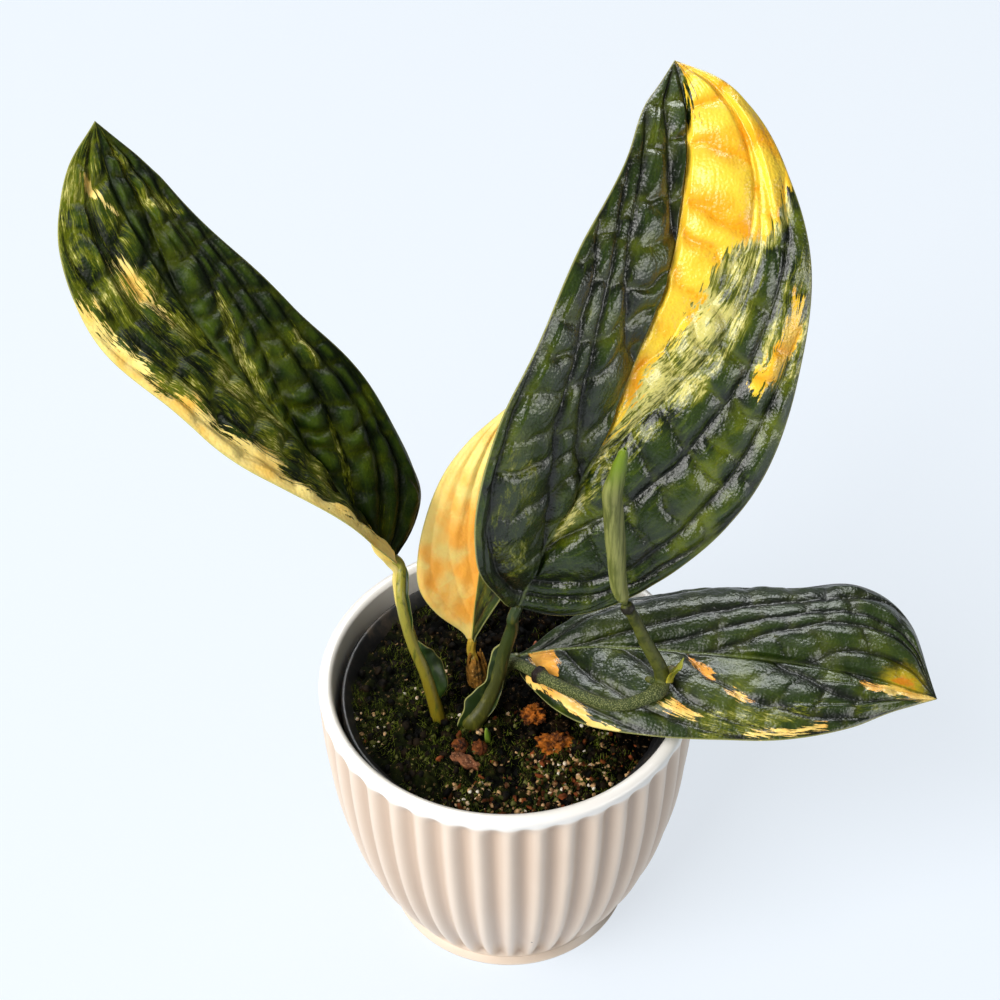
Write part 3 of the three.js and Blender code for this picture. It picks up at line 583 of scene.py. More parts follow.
def bladeSurface(half, t, u):  # smooth blade without its quilting: point, normal and half width
    curve, side = half["curve"], half["side"]
    along = curveAlong(curve, t)
    face = ease(0, 1, t)[..., None]
    up = square(np.array(half["faceAtBase"]) * (1 - face) + np.array(half["faceAtTip"]) * face, along)
    right = np.cross(along, up)
    width = halfWidth(half, t)
    fold = np.radians(eased(half["folds"], t))
    curl = np.radians(eased(half["curls"], t))
    tilt = fold - curl * u
    out = width * (np.sin(fold) - np.sin(tilt)) / curl
    rise = width * (np.cos(tilt) - np.cos(fold)) / curl
    point = curveAt(curve, t) + side * out[..., None] * right + rise[..., None] * up
    normal = np.cos(tilt)[..., None] * up - side * np.sin(tilt)[..., None] * right
    share = np.clip(width / 12, 0, 1)
    wave = half["wave"] * u**3 * np.sin(2 * np.pi * half["waves"] * t + side) * share
    soft = ease(0, 3, width * u)[..., None]
    return point + normal * wave[..., None], unit(up * (1 - soft) + normal * soft), width


def veinShares(half, u):  # where each vein, and the two ends of the blade, cross the share u
    lines = [np.zeros_like(u)]
    for line in half["veins"]:
        across, along = np.array(line).T / 100
        place = smoothLine(across, along, np.minimum(u, across[-1]))
        beyond = np.maximum(u - across[-1], 0)
        lines.append(np.maximum(place + beyond * 0.4, lines[-1] + 0.004))
    lines.append(np.maximum(1.0 + 0.3 * u, lines[-1] + 0.004))
    return np.array(lines)


def stripPlaces(half, t, u, width):  # strip number with its fraction, way along it, and its width
    columns = u[0]
    lines = veinShares(half, columns)
    number = np.arange(len(lines))
    strip = np.stack([np.interp(t[:, j], lines[:, j], number) for j in range(len(columns))], axis=1)
    table = np.arange(0, len(lines) - 0.99, 0.125)
    rows = np.clip([np.interp(table, number, lines[:, j]) for j in range(len(columns))], 0, 1).T
    length = half["curve"]["length"]
    across = halfWidth(half, rows) * columns
    steps = np.hypot(np.diff(across, axis=1), np.diff(rows * length, axis=1))
    reach = np.concatenate([np.zeros((len(table), 1)), np.cumsum(steps, axis=1)], axis=1)
    way = np.stack([np.interp(strip[:, j], table, reach[:, j]) for j in range(len(columns))], axis=1)
    slopeT = np.gradient(strip, t[:, 0], axis=0)
    slopeU = np.gradient(strip, columns, axis=1)
    widening = np.gradient(width, t[:, 0], axis=0)
    slopeX = slopeU / np.maximum(width, 0.5)
    slopeY = (slopeT - slopeX * u * widening) / length
    return strip, way, 1 / np.maximum(np.hypot(slopeX, slopeY), 0.03)


def insidePatch(points, corners):  # distance in from the patch's outline, negative outside it
    nearest = np.full(points.shape[:-1], 1e9)
    inside = np.zeros(points.shape[:-1], bool)
    for a, b in zip(corners, np.roll(corners, -1, axis=0)):
        edge = b - a
        f = np.clip(((points - a) @ edge) / (edge @ edge), 0, 1)
        nearest = np.minimum(nearest, np.linalg.norm(points - (a + f[..., None] * edge), axis=-1))
        crosses = (a[1] > points[..., 1]) != (b[1] > points[..., 1])
        rise = edge[1] if abs(edge[1]) > 1e-9 else 1e-9
        inside ^= crosses & (points[..., 0] < a[0] + edge[0] * (points[..., 1] - a[1]) / rise)
    return np.where(inside, nearest, -nearest)


def patchDepth(half, flat, corners):  # millimetres inside a patch, or plenty where it has no corners
    if not corners:
        return np.full(flat.shape[:-1], leafRules["depthOfAll"])
    t, u = np.array(corners, float).T / 100
    width = np.maximum(halfWidth(half, np.clip(t, 0, 1)), 0.5)
    return insidePatch(flat, np.stack([u * width, t * half["curve"]["length"]], -1))


def patchFields(half, flat):
    fields = {}
    for kind in ("gold", "cream", "ripe", "rust", "streaks"):
        fields[kind] = np.full(flat.shape[:-1], 0.0 if kind == "streaks" else leafRules["emptyPatch"])

    def raiseTo(kind, values):
        fields[kind] = np.maximum(fields[kind], values)

    for kind, patchSide, amount, corners in half["patches"]:
        if patchSide != half["side"]:
            continue
        depth = patchDepth(half, flat, corners)
        if kind == "streaks":
            raiseTo(kind, amount * ease(-2.5, 2, depth))
        else:
            raiseTo(kind, (depth - 0.5 * max(amount - 1, 0)) / amount)
        if kind == "gold" and amount > 1.2:  # a halo of streaks round the big sector
            lower = ease(0.83, 0.76, flat[..., 1] / half["curve"]["length"])
            raiseTo("streaks", 0.8 * lower * ease(-7, -1, depth))
    return fields


def laneWay(half, lane, flat):  # way along a lane, square to its middle line
    u = np.linspace(0, 1, 260)
    lines = veinShares(half, u)
    t = np.clip((lines[lane] + lines[lane + 1]) / 2, 0, 1)
    middle = np.stack([halfWidth(half, t) * u, t * half["curve"]["length"]], -1)
    steps = np.linalg.norm(np.diff(middle, axis=0), axis=1)
    reach = np.r_[0, np.cumsum(steps)]
    ahead = unit(np.gradient(middle, axis=0) + 1e-9)
    near = np.argmin(np.sum((flat[:, None] - middle) ** 2, -1), axis=1)
    return reach[near] + np.sum((flat - middle[near]) * ahead[near], -1) + 40


def cellShape(half, strip, flat, span):  # rounded cells along each lane, seeded sizes and slants
    draw = np.random.default_rng(half["seed"] + half["side"])
    rules = leafRules["cells"]
    count = rules["count"]
    index = np.minimum(np.floor(strip), len(half["veins"])).astype(int)
    f = strip - index
    shape, lift, valley = np.ones_like(strip), np.ones_like(strip), np.zeros_like(strip)
    for lane in range(index.max() + 1):
        here = index == lane
        bounds = np.cumsum(half["cell"] * draw.uniform(*rules["sizes"], count)) - half["cell"]
        slant, bow = draw.uniform(*rules["slants"]), draw.uniform(*rules["bows"])
        away = f[here] - 0.5
        bent = (slant * away + bow * away**2) * np.minimum(span[here], rules["widestBend"])
        warped = laneWay(half, lane, flat[here]) + bent
        warped += rules["sway"] * ripple(flat[here], rules["swaySize"], half["seed"] + lane)
        phase = np.interp(warped, bounds, np.arange(float(count)))
        end = phase % 1
        deep = draw.uniform(*rules["depths"], count + 2)[np.round(phase).astype(int)]
        pinch = np.abs(2 * end - 1)
        shape[here] = (1 - deep * pinch ** (half["round"] * (1 + 0.5 * deep))) * (0.8 + 0.2 * end)
        valley[here] = pinch**1.6 * deep * (1.25 - 0.6 * end)
        lift[here] = draw.uniform(*rules["lifts"], count + 2)[phase.astype(int)]
    dome = (1 - np.abs(2 * f - 1) ** half["round"]) ** 0.8
    return dome, shape, 1 + (lift - 1) * shape * dome, valley


def ripple(points, size, seed):  # soft unevenness between -1 and 1
    draw = np.random.default_rng(seed)
    x, y = points[..., 0], points[..., 1]
    total = np.zeros_like(x)
    for k in range(7):
        angle, phase, scale = draw.uniform(0, 6.283, 2).tolist() + [draw.uniform(0.6, 1.7)]
        total += np.sin((x * math.cos(angle) + y * math.sin(angle)) * scale * 6.283 / size + phase)
    return total / 4


def halfBlade(half, rows, columns):
    t, u = gridOf(rows, columns)
    point, normal, width = bladeSurface(half, t, u)
    strip, way, span = stripPlaces(half, t, u, width)
    across, seed = width * u, half["seed"]
    flat = np.stack([across, t * half["curve"]["length"]], -1)
    strip = strip + 0.05 * ripple(flat, 24, seed + 7) * ease(0, 6, across)
    strip = np.clip(strip, 0, len(half["veins"]) + 1)
    dome, cells, lift, valley = cellShape(half, strip, flat, span)
    quiet = half.get("quiet", 0.12)
    calm = ease(quiet * 0.5, quiet * 2, t) * ease(1, 5, way)
    pillow = dome * (1 - half["cross"] * calm * (1 - cells))
    rimGap = width * (1 - u)
    margin = ease(0.3, 4.5, rimGap)
    size = np.clip(span / 11, 0.1, 1.15) * lift * ease(0, 2.5, across) * margin
    height = half["relief"] * (pillow * size - 0.45 * margin * ease(0, 3, across))
    inStrips = np.stack([way, strip * 12], -1)
    uneven = 0.22 * ripple(flat, 9, seed) + 0.07 * ripple(inStrips, 3.4, seed + 1)
    height += uneven * margin * ease(0, 4, across)

    rib = np.exp(-((across / leafRules["ribWidth"]) ** 2))
    keel = leafRules["keelDepth"] * (1 - t) ** 0.7 * np.exp(-((across / leafRules["keelWidth"]) ** 2))
    height = height + leafRules["ribHeight"] * rib * (1 - ease(0.3, 0.75, t))
    thin = leafRules["edgeThickness"]
    thick = thin + (leafRules["thickness"] - thin) * ease(0, 1.5, rimGap)
    return {
        "top": point + normal * (height + thick / 2)[..., None],
        "foot": point + normal * (height - thick / 2 - keel)[..., None],
        "grain": np.stack([way, strip * 11.0, np.full_like(t, 60.0 * half["side"])], -1),
        "pillow": pillow * (0.35 + 0.65 * calm) + 0.3 * (1 - calm),
        "valley": valley * (0.3 + 0.7 * calm),
        "strip": strip,
        "span": span,
        "warm": np.full_like(t, half["warmth"]),
        "rib": rib * (1 - ease(0.35, 0.8, t)),
        "rim": rimGap,
        **patchFields(half, flat),
    }


def makeLeaf(name, leaf, material, slot):
    leaf["curve"] = makeCurve(leaf["spine"])
    count = round(leaf["curve"]["length"] / leafRules["rowStep"])
    even = np.linspace(0, 1, count + 1)
    rows = 0.8 * even + 0.2 * ease(0, 1, even)
    even = np.linspace(0, 1, round(max(map(max, leaf["widths"])) / leafRules["columnStep"]))
    columns = 0.7 * even + 0.3 * ease(0, 1, even)
    left, right = (halfBlade(oneHalf(leaf, side), rows, columns) for side in (-1, 1))
    fields = {key: np.concatenate([left[key][:, :0:-1], right[key]], axis=1) for key in left}
    mesh = sheetMesh(name, fields.pop("top"), fields.pop("foot"), fields, material)
    addPiece(name + "_blade", mesh, slot, name)
    print("stage:", name, len(mesh.polygons), "faces")


def bladeColour(material, leaf, fine, streak, broad, crease):
    tone, warmth = leafTones, field(material, "warm")
    pillow, valley = field(material, "pillow"), field(material, "valley")
    ragged = fine * 0.5 + streak * 0.5

    # Painted shade: the cell valleys are painted darker green and the pillow tops lighter, mixed with
    # random tone.
    green = blend(spread(pillow * 0.9 + broad * 0.5, 0.5, 1.1), tone["valleyShadeGreen"], tone["leafGreen"])
    green = blend(spread(streak, 0.5, 0.72) * warmth, green, tone["warmGreen"])
    green = blend(spread(valley * 0.3 + broad, 0.5, 0.8) * warmth, green, tone["mottleGreen"])
    # Painted shade: the lengthwise creases and cross valleys are darkened to near-black green.
    sunk = calc("MAXIMUM", spread(crease, 1.6, 0.1) * 0.5, spread(valley, 0.6, 1.0) * 0.45)
    green = blend(sunk * leaf["sunk"], green, tone["creaseShadeGreen"])
    # Painted light: the pillow tops are painted a lighter green.
    green = blend(spread(pillow, 0.62, 1.0) * leaf["topLight"], green, tone["litTopGreen"])
    patchy = (broad - 0.5) * 0.5 + ragged
    level = patchy + (field(material, "streaks") - 0.5) * 0.55
    green = blend(spread(level, 0.46, 0.56) * 0.9, green, tone["olive"])
    colour = blend(spread(level, 0.56, 0.68), green, tone["paleFleck"])

    # Partly painted shade: the gold turns deeper yellow in the cell valleys; the broad noise gives real
    # tone.
    gold = blend(spread(valley * 0.5 + broad * 1.1, 0.5, 1.05), tone["lemon"], tone["deepYellow"])
    creamy = blend(spread(broad, 0.45, 0.75), tone["cream"], tone["orange"])
    soft = valley * 0.2 + (field(material, "rim") * -0.02 + broad)
    ripened = blend(spread(soft, 0.2, 0.6), tone["ripeDeep"], tone["ripePale"])
    combed = (broad - 0.5) * 0.2 + (streak * 0.7 + fine * 0.3)
    teeth = (combed - 0.5) * 15.0
    for key, paint in (("gold", gold), ("cream", creamy), ("ripe", ripened)):
        colour = blend(spread(field(material, key) + teeth, -0.4, 0.3), colour, paint)
    rusty = field(material, "rust") + (patchy - 0.5) * 8.0
    colour = blend(spread(rusty, -3.5, 2.5) * 0.85, colour, tone["rustEdge"])
    return blend(spread(rusty, 1.2, 3.4), colour, tone["rust"])


def bladeMaterial(name, glow, leaf):
    rough, coat, bump, shine = leaf["gloss"]
    material = newMaterial(name, {
        "Specular IOR Level": shine, "Subsurface Weight": glow, "Subsurface Scale": 0.001,
        "Subsurface Radius": (1.6, 1.2, 0.4), "Coat Weight": coat, "Coat Roughness": 0.12,
    })
    place, under, tone = objectPlace(material), field(material, "under"), leafTones
    grain = put(material.node_tree, "ShaderNodeAttribute", None, 1, attribute_name="grain")
    broad = grainNoise(place, 75, 3, 0.55)
    streak = grainNoise(grain, (0.14, 0.8, 1), 4, 0.6, 0.4)
    fine = grainNoise(grain, (0.5, 2.4, 1), 4, 0.65, 0.3)
    fold = calc("PINGPONG", field(material, "strip"), 1.0)
    crease = calc("MINIMUM", fold, 1.0 - fold) * field(material, "span")
    colour = bladeColour(material, leaf, fine, streak, broad, crease)
    colour = blend(field(material, "rib") * 0.6, colour, tone["ribGreen"])
    colour = blend(spread(field(material, "rim"), 0.6, 0.1) * 0.6, colour, tone["edge"])
    colour = blend(under, colour, blend(0.35, colour, tone["underGreen"]))
    roughness = under * 0.25 + (grainNoise(grain, (0.5, 5, 1), 3, 0.6) * 0.3 + rough)
    height = cellNoise(place, 1000.0) * -0.45 + grainNoise(place, 280, 3, 0.5) * 0.9
    height = spread(crease, 0.0, 0.9) * 0.4 + height
    return dress(material, colour, roughness, height, 0.0007, bump)


for leafName, leaf in leaves.items():
    isYellow = leafName == "yellow_leaf"
    finish = bladeMaterial(leafName + "_finish", 0.3 if isYellow else 0.12, leaf)
    makeLeaf(leafName, leaf, finish, "yellow_blade" if isYellow else "blade")


# Geometry Nodes helpers

def makeTree(name, sockets):  # inputs by name, each of the kind that its first value has
    tree = bpy.data.node_groups.new(name, "GeometryNodeTree")
    for way in ("INPUT", "OUTPUT"):
        tree.interface.new_socket("Geometry", in_out=way, socket_type="NodeSocketGeometry")
    kinds = {float: "Float", int: "Int", bool: "Bool", type(None): "Material"}
    for label, value in sockets.items():
        kind = "NodeSocket" + kinds[type(value)]
        socket = tree.interface.new_socket(label, in_out="INPUT", socket_type=kind)
        if value is not None:
            socket.default_value = value
    entry = tree.nodes.new("NodeGroupInput")
    return tree, {socket.name: Wire(socket) for socket in entry.outputs if socket.name}


def endTree(tree, geometry, material):  # smooth, realized, with its material
    shaded = put(tree, "GeometryNodeSetShadeSmooth", {"Geometry": geometry, "Shade Smooth": True})
    real = put(tree, "GeometryNodeRealizeInstances", {"Geometry": shaded})
    dressed = put(tree, "GeometryNodeSetMaterial", {"Geometry": real, "Material": material})
    join(dressed, tree.nodes.new("NodeGroupOutput").inputs[0])
    return tree


def growMesh(name, source, tree, values):  # plain mesh that the tree makes from the source
    carrier = addObject(name + "_source", source)
    modifier = carrier.modifiers.new(tree.name, "NODES")
    modifier.node_group = tree
    for item in tree.interface.items_tree:
        if item.item_type == "SOCKET" and item.in_out == "INPUT" and item.name in values:
            modifier[item.identifier] = values[item.name]
    graph = bpy.context.evaluated_depsgraph_get()
    grown = bpy.data.meshes.new_from_object(carrier.evaluated_get(graph), depsgraph=graph)
    grown.name = name
    carrier.modifiers.remove(modifier)
    bpy.data.objects.remove(carrier)
    return grown


def nodePosition(tree):
    return put(tree, "GeometryNodeInputPosition")


def nodeNoise(place, scale, detail=3.0):  # centred noise between about -0.5 and 0.5
    inputs = {"Vector": place, "Scale": scale, "Detail": detail}
    return put(place.tree, "ShaderNodeTexNoise", inputs) - 0.5


def namedField(tree, name):
    return put(tree, "GeometryNodeInputNamedAttribute", {"Name": name}, data_type="FLOAT")


def keepField(geometry, name, value):  # stores a value on the points, for the material
    inputs = {"Geometry": geometry, "Name": name, "Value": value}
    kind = "GeometryNodeStoreNamedAttribute"
    return put(geometry.tree, kind, inputs, data_type="FLOAT", domain="POINT")


def scaled(vector, amount):
    inputs = {0: vector, "Scale": amount}
    return put(vector.tree, "ShaderNodeVectorMath", inputs, operation="SCALE")


def moved(geometry, way, amount):  # geometry with its points set to a place, or moved by an offset
    return put(geometry.tree, "GeometryNodeSetPosition", {"Geometry": geometry, way: amount})


# Turned pieces: a profile of (radius, height) swept round the vertical, fluted where it is marked

def turnedTree():
    tree, given = makeTree("turned_profile", {
        "Profile points": 10, "Steps round": 400, "Flutes": 40, "Flute depth": 0.0015,
        "Unevenness": 0.0001, "Material": None,
    })
    count, steps = given["Profile points"], given["Steps round"]
    grid = put(tree, "GeometryNodeMeshGrid", {
        "Size X": 1.0, "Size Y": 1.0, "Vertices X": steps + 1, "Vertices Y": count,
    })
    index = put(tree, "GeometryNodeInputIndex")
    column = calc("FLOOR", calc("DIVIDE", index, count))
    row = {"Geometry": given["Geometry"], "Index": calc("MODULO", index, count)}

    def sample(value, kind):
        return put(tree, "GeometryNodeSampleIndex", {**row, "Value": value}, "Value", data_type=kind)

    profileRadius, _, height = parts(sample(nodePosition(tree), "FLOAT_VECTOR"))
    flute = sample(namedField(tree, "flute"), "FLOAT")
    share = calc("DIVIDE", column, steps)
    wave = calc("SINE", share * given["Flutes"] * math.pi)
    hollow = calc("POWER", calc("ABSOLUTE", wave), pot["fluteShape"]) * flute
    radius = profileRadius - hollow * given["Flute depth"]
    angle = share * fullTurn
    x, y = radius * calc("COSINE", angle), radius * calc("SINE", angle)
    place = put(tree, "ShaderNodeCombineXYZ", {0: x, 1: y, 2: height})
    outward = vectorCalc("NORMALIZE", vectorCalc("MULTIPLY", place, (1, 1, 0)))
    uneven = scaled(outward, nodeNoise(place, 30.0, 2.0) * given["Unevenness"])
    shaped = moved(grid, "Position", vectorCalc("ADD", place, uneven))
    marked = keepField(shaped, "hollow", hollow)
    merged = put(tree, "GeometryNodeMergeByDistance", {"Geometry": marked, "Distance": 2e-6})
    return endTree(tree, merged, given["Material"])


def turnedMesh(name, profile, material, flutes, depth, steps, uneven):
    points = bpy.data.meshes.new(name + "_profile")
    points.from_pydata([(r * mm, 0, z * mm) for r, z, _ in profile], [], [])
    addField(points, "flute", [fluted for _, _, fluted in profile])
    values = {
        "Profile points": len(profile), "Steps round": steps, "Flutes": flutes,
        "Flute depth": depth * mm, "Unevenness": uneven * mm, "Material": material,
    }
    return tidyMesh(growMesh(name, points, turning, values), 2e-6)


# Cachepot and nursery pot

pot = {
    "height": 102,
    "rimRadius": 60,
    "mouthRadius": 55.6,
    "flutes": 40,
    "fluteDepth": 2.3,
    "fluteShape": 2.2,
    "fluteFades": (2.8, 6.8, 94, 99.8),
    "foot": [(0.001, 0.9), (36, 0.9), (38.2, 0.7), (39.2, 0.1), (40.6, 0.0), (41.3, 0.5), (41.5, 1.6)],
    "rows": ((2.8, 7, 9), (8.5, 92, 36), (93.5, 100, 12)),
    "rimLevel": 100.3,
    "rimRise": 1.7,
    "floor": 6.9,
    "roundSteps": 480,
    "unevenness": 0.25,
    "inside": [(36.4, 7), (38, 8.6), (41, 13), (47.2, 29), (52, 50), (55.2, 90), (55.6, 101)],
    "glaze": (228, 209, 190),
    "rimLitGlaze": (246, 242, 236),
    "darkGlazeAndHollowShade": (186, 160, 138),
    "speck": (70, 58, 48),
}

nurseryPot = {
    "rim": 53.4,
    "top": 95,
    "foot": 35,
    "floor": 7.3,
    "wall": 1.2,
    "lip": [
        (0.3, 90.9), (0, 91.4), (0, 93.2), (0.15, 94.6), (0.6, 94.95), (1.2, 94.9), (1.6, 94.4),
        (1.9, 93.4),
    ],
    "underLip": 2.2,
    "flutes": 1,
    "fluteDepth": 0.0,
    "roundSteps": 160,
    "unevenness": 0.5,
    "plastic": (30, 30, 32),
    "dust": (92, 80, 66),
}


def potRadius(z):
    down = 1 - z / pot["height"]
    return pot["rimRadius"] * (1 + 0.03 * down - 0.25 * down**2 - 0.15 * down**4)


def potProfile():
    low, lowEnd, high, highEnd = pot["fluteFades"]
    rim, mouth = pot["rimRadius"], pot["mouthRadius"]
    foot = [*pot["foot"], (potRadius(2.5) + 0.1, 2.2), (potRadius(2.6), 2.6)]
    profile = [(r, z, 0.0) for r, z in foot]
    for z in np.concatenate([np.linspace(*row) for row in pot["rows"]]):
        fade = float(ease(low, lowEnd, z) * (1 - ease(high, highEnd, z)))
        profile.append((float(potRadius(z)), float(z), fade))
    middle, half = (rim + mouth) / 2, (rim - mouth) / 2
    for angle in np.linspace(0.2, math.pi - 0.1, 12):
        height = pot["rimLevel"] + pot["rimRise"] * math.sin(angle)
        profile.append((middle + half * math.cos(angle), height, 0.0))
    inner = pot["inside"][::-1]
    for (r0, z0), (r1, z1) in zip(inner[:-1], inner[1:]):
        profile += [(r0 + (r1 - r0) * f, z0 + (z1 - z0) * f, 0.0) for f in (0.5, 1.0)]
    return profile + [(20, pot["floor"], 0.0), (0.001, pot["floor"], 0.0)]


def glazeMaterial():
    material = newMaterial("glaze", {"Coat Weight": 0.25, "Coat Roughness": 0.25, "IOR": 1.5})
    place = objectPlace(material)
    broad = grainNoise(place, (18, 18, 10), 4, 0.6)
    height = parts(place)[2]
    reach = vectorCalc("LENGTH", vectorCalc("MULTIPLY", place, (1, 1, 0)), pick="Value")
    # Painted shade: the flute hollows are painted a darker glaze; the same darker glaze in broad blotches
    # is real tone.
    colour = blend(field(material, "hollow") * 0.85, pot["glaze"], pot["darkGlazeAndHollowShade"])
    colour = blend(spread(broad, 0.4, 0.8) * 0.35, colour, pot["darkGlazeAndHollowShade"])
    # Painted light: the rim top and the inner lip are painted whiter, through the mask named thin, standing
    # in for the light that falls on them.
    inside = spread(reach, 0.0576, 0.0566) * spread(height, 0.085, 0.088)
    thin = calc("MAXIMUM", inside, spread(height, 0.0968, 0.0988))
    colour = blend(thin, colour, pot["rimLitGlaze"])
    speck = spread(cellNoise(place, 90.0), 0.05, 0.02) * spread(broad, 0.52, 0.56)
    colour = blend(speck, colour, pot["speck"])
    lumps = grainNoise(place, 900, 3, 0.6) * 0.25 + grainNoise(place, (150, 150, 90), 3, 0.5)
    return dress(material, colour, spread(broad, 0.3, 0.7) * 0.15 + 0.38, lumps, 0.0004, 0.25)


def plasticMaterial():
    material = newMaterial("nursery_plastic", {"IOR": 1.46})
    place = objectPlace(material)
    dusty = grainNoise(place, (60, 60, 30), 5, 0.7)
    colour = blend(spread(dusty, 0.5, 0.75), nurseryPot["plastic"], nurseryPot["dust"])
    return dress(material, colour, dusty * 0.4 + 0.25, grainNoise(place, 700, 3, 0.6), 0.0002, 0.3)


def nurseryRadius(z):
    rim, foot = nurseryPot["rim"] - nurseryPot["underLip"], nurseryPot["foot"]
    return foot + (rim - foot) * (z - nurseryPot["floor"]) / (nurseryPot["top"] - nurseryPot["floor"])


def nurseryProfile():
    wall, floor, rim, foot = (nurseryPot[key] for key in ("wall", "floor", "rim", "foot"))
    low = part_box("nursery_pot")[0][2] / mm
    outer = [(0.001, low), (foot - 1, low), (foot, low + 1)]
    outer += [(nurseryRadius(z), z) for z in (30, 60, 88)]
    lip = [(nurseryRadius(90.5), 90.6), *[(rim - inward, z) for inward, z in nurseryPot["lip"]]]
    inner = [(nurseryRadius(z) - wall, z) for z in (90, 60, 30)]
    inner += [(foot - 1, floor + wall + 0.6), (foot - 2, floor + wall), (0.001, floor + wall)]
    return [(r, z, 0.0) for r, z in outer + lip + inner]


turning = turnedTree()
shape = [pot[key] for key in ("flutes", "fluteDepth", "roundSteps", "unevenness")]
potMesh = turnedMesh("cachepot_body", potProfile(), glazeMaterial(), *shape)
addPiece("cachepot_body", potMesh, "glaze", "cachepot")
shape = [nurseryPot[key] for key in ("flutes", "fluteDepth", "roundSteps", "unevenness")]
potMesh = turnedMesh("nursery_liner", nurseryProfile(), plasticMaterial(), *shape)
addPiece("nursery_liner", potMesh, "nursery_plastic", "nursery_pot")
print("stage: pots")


# Soil: one bed with a crumbly top, and what lies in it

soilRules = {
    "level": 90.5,
    "lowestTop": 88.0,
    "radius": 50.6,
    "rings": 105,
    "steps": 380,
    "roughness": 1.8,
    "crumbSize": 0.22,
    "edge": (42, 50),
    "wall": [(50.4, 80), (46, 50)],
    "base": (36, 33),
    "seed": 5,
}

soilTones = {
    # near black; in the bed it paints the shade in the hollows
    "dark": (2, 2, 1),
    "brown": (30, 20, 9),
    "moss": (28, 36, 5),
    "crumb": (28, 20, 10),
    "bark": (128, 66, 34),
    "tan": (196, 156, 110),
    "grit": (220, 212, 196),
    "olive": (92, 92, 48),
    "mossTip": (100, 112, 34),
    "fibre": (176, 98, 26),
    "fibreDark": (62, 30, 12),
}


def soilHeight(x, y):
    swell = 1.1 * np.sin(x / 7.3 + 1) * np.cos(y / 8.9) + 0.7 * np.sin((x - y) / 4.7)
    rim = 1 - ease(*soilRules["edge"], np.hypot(x, y))
    return soilRules["level"] + swell * (0.35 + 0.65 * rim) + 1.2 * rim


def roughGround(x, y):  # crumbly relief by layered noise
    heights, size = np.zeros(x.shape), soilRules["crumbSize"]
    for place in np.ndindex(x.shape):
        spot = Vector((x[place] * size, y[place] * size, soilRules["seed"]))
        lumps = noise.fractal(spot, 0.7, 2.1, 5)
        crumbs = 0.6 - noise.voronoi(spot * 2.6)[0][0]
        clods = 0.5 - noise.voronoi(spot * 0.9)[0][0]
        heights[place] = 0.6 * lumps + 1.0 * crumbs + 1.5 * clods
    return heights


def soilMesh(material):
    share, angles = gridOf(
        np.linspace(0, 1, soilRules["rings"])[1:],
        np.linspace(0, 2 * np.pi, soilRules["steps"], endpoint=False),
    )
    circle = np.stack([np.cos(angles), np.sin(angles)], -1)
    x, y = (soilRules["radius"] * share * circle[..., axis] for axis in (0, 1))
    rough = roughGround(x, y) * soilRules["roughness"] * (0.25 + 0.75 * (1 - ease(0.9, 1.0, share)))
    z = soilHeight(x, y) + rough
    rings = [*np.stack([x, y, z], -1)]
    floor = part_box("soil")[0][2] / mm
    wide, narrow = soilRules["base"]
    for radius, height in [*soilRules["wall"], (wide, floor + 0.5), (narrow, floor)]:
        rings.append(np.c_[radius * circle[0], np.full(len(circle[0]), height)])
    points = np.vstack([[[0, 0, z[0].mean()]], *rings, [[0, 0, floor]]]) * mm
    steps = soilRules["steps"]
    here = np.arange(steps)
    there = (here + 1) % steps
    faces = np.stack([0 * here, 1 + here, 1 + there], -1).tolist()
    for a in range(1, len(points) - 1 - steps, steps):
        faces += np.stack([a + here, a + steps + here, a + steps + there, a + there], -1).tolist()
    last, end = len(points) - 1 - steps, len(points) - 1
    faces += np.stack([last + here, end + 0 * here, last + there], -1).tolist()
    mesh = bpy.data.meshes.new("soil_bed")
    mesh.from_pydata(points.tolist(), [], faces)
    addField(mesh, "lift", np.r_[0.0, rough.ravel(), np.zeros(len(points) - rough.size - 1)])
    mesh.materials.append(material)
    return tidyMesh(mesh)


def earthMaterial():
    material = newMaterial("earth", {"Specular IOR Level": 0.03})
    place, tone = objectPlace(material), soilTones
    coarse = grainNoise(place, 180, 5, 0.7)
    fine = grainNoise(place, 800, 4, 0.7)
    x, y, _ = parts(place)
    green = spread(x * -14.0 - y * 8.0 + coarse * 2.2, 1.1, 1.7)
    # Painted shade: low ground between the crumbs is painted near black and the raised crumbs browner,
    # mixed with random tone.
    raised = spread(field(material, "lift"), -1.2, 2.4)
    earthAndShade = raised * 0.3 + (coarse * 0.35 + fine * 0.55)
    colour = blend(spread(earthAndShade, 0.56, 0.72), tone["dark"], tone["brown"])
    colour = blend(green * (raised * 0.9), colour, tone["moss"])
    colour = blend(spread(fine, 0.6, 0.68) * raised * 0.8, colour, tone["tan"])
    return dress(material, colour, fine * 0.5 + 0.45, fine * 0.5 + coarse, 0.0012, 0.7)


def grainMaterial(name, dark, light, rough):  # each grain gets its own tone
    material = newMaterial(name, {"Specular IOR Level": 0.06})
    place = objectPlace(material)
    colour = blend(spread(grainNoise(place, 260, 2, 0.5), 0.38, 0.64), dark, light)
    fine = grainNoise(place, 1500, 4, 0.7)
    return dress(material, colour, fine * 0.3 + rough, fine, 0.0003, 0.6)


def drawn(tree, low, high, seed):  # a random number or vector for each point
    first, kind = (0, "FLOAT_VECTOR") if isinstance(low, tuple) else (2, "FLOAT")
    inputs = {first: low, first + 1: high, "Seed": seed}
    return put(tree, "FunctionNodeRandomValue", inputs, first // 2, data_type=kind)


def choice(switch, no, yes, kind):
    inputs = {"Switch": switch, "False": no, "True": yes}
    return put(switch.tree, "GeometryNodeSwitch", inputs, input_type=kind)


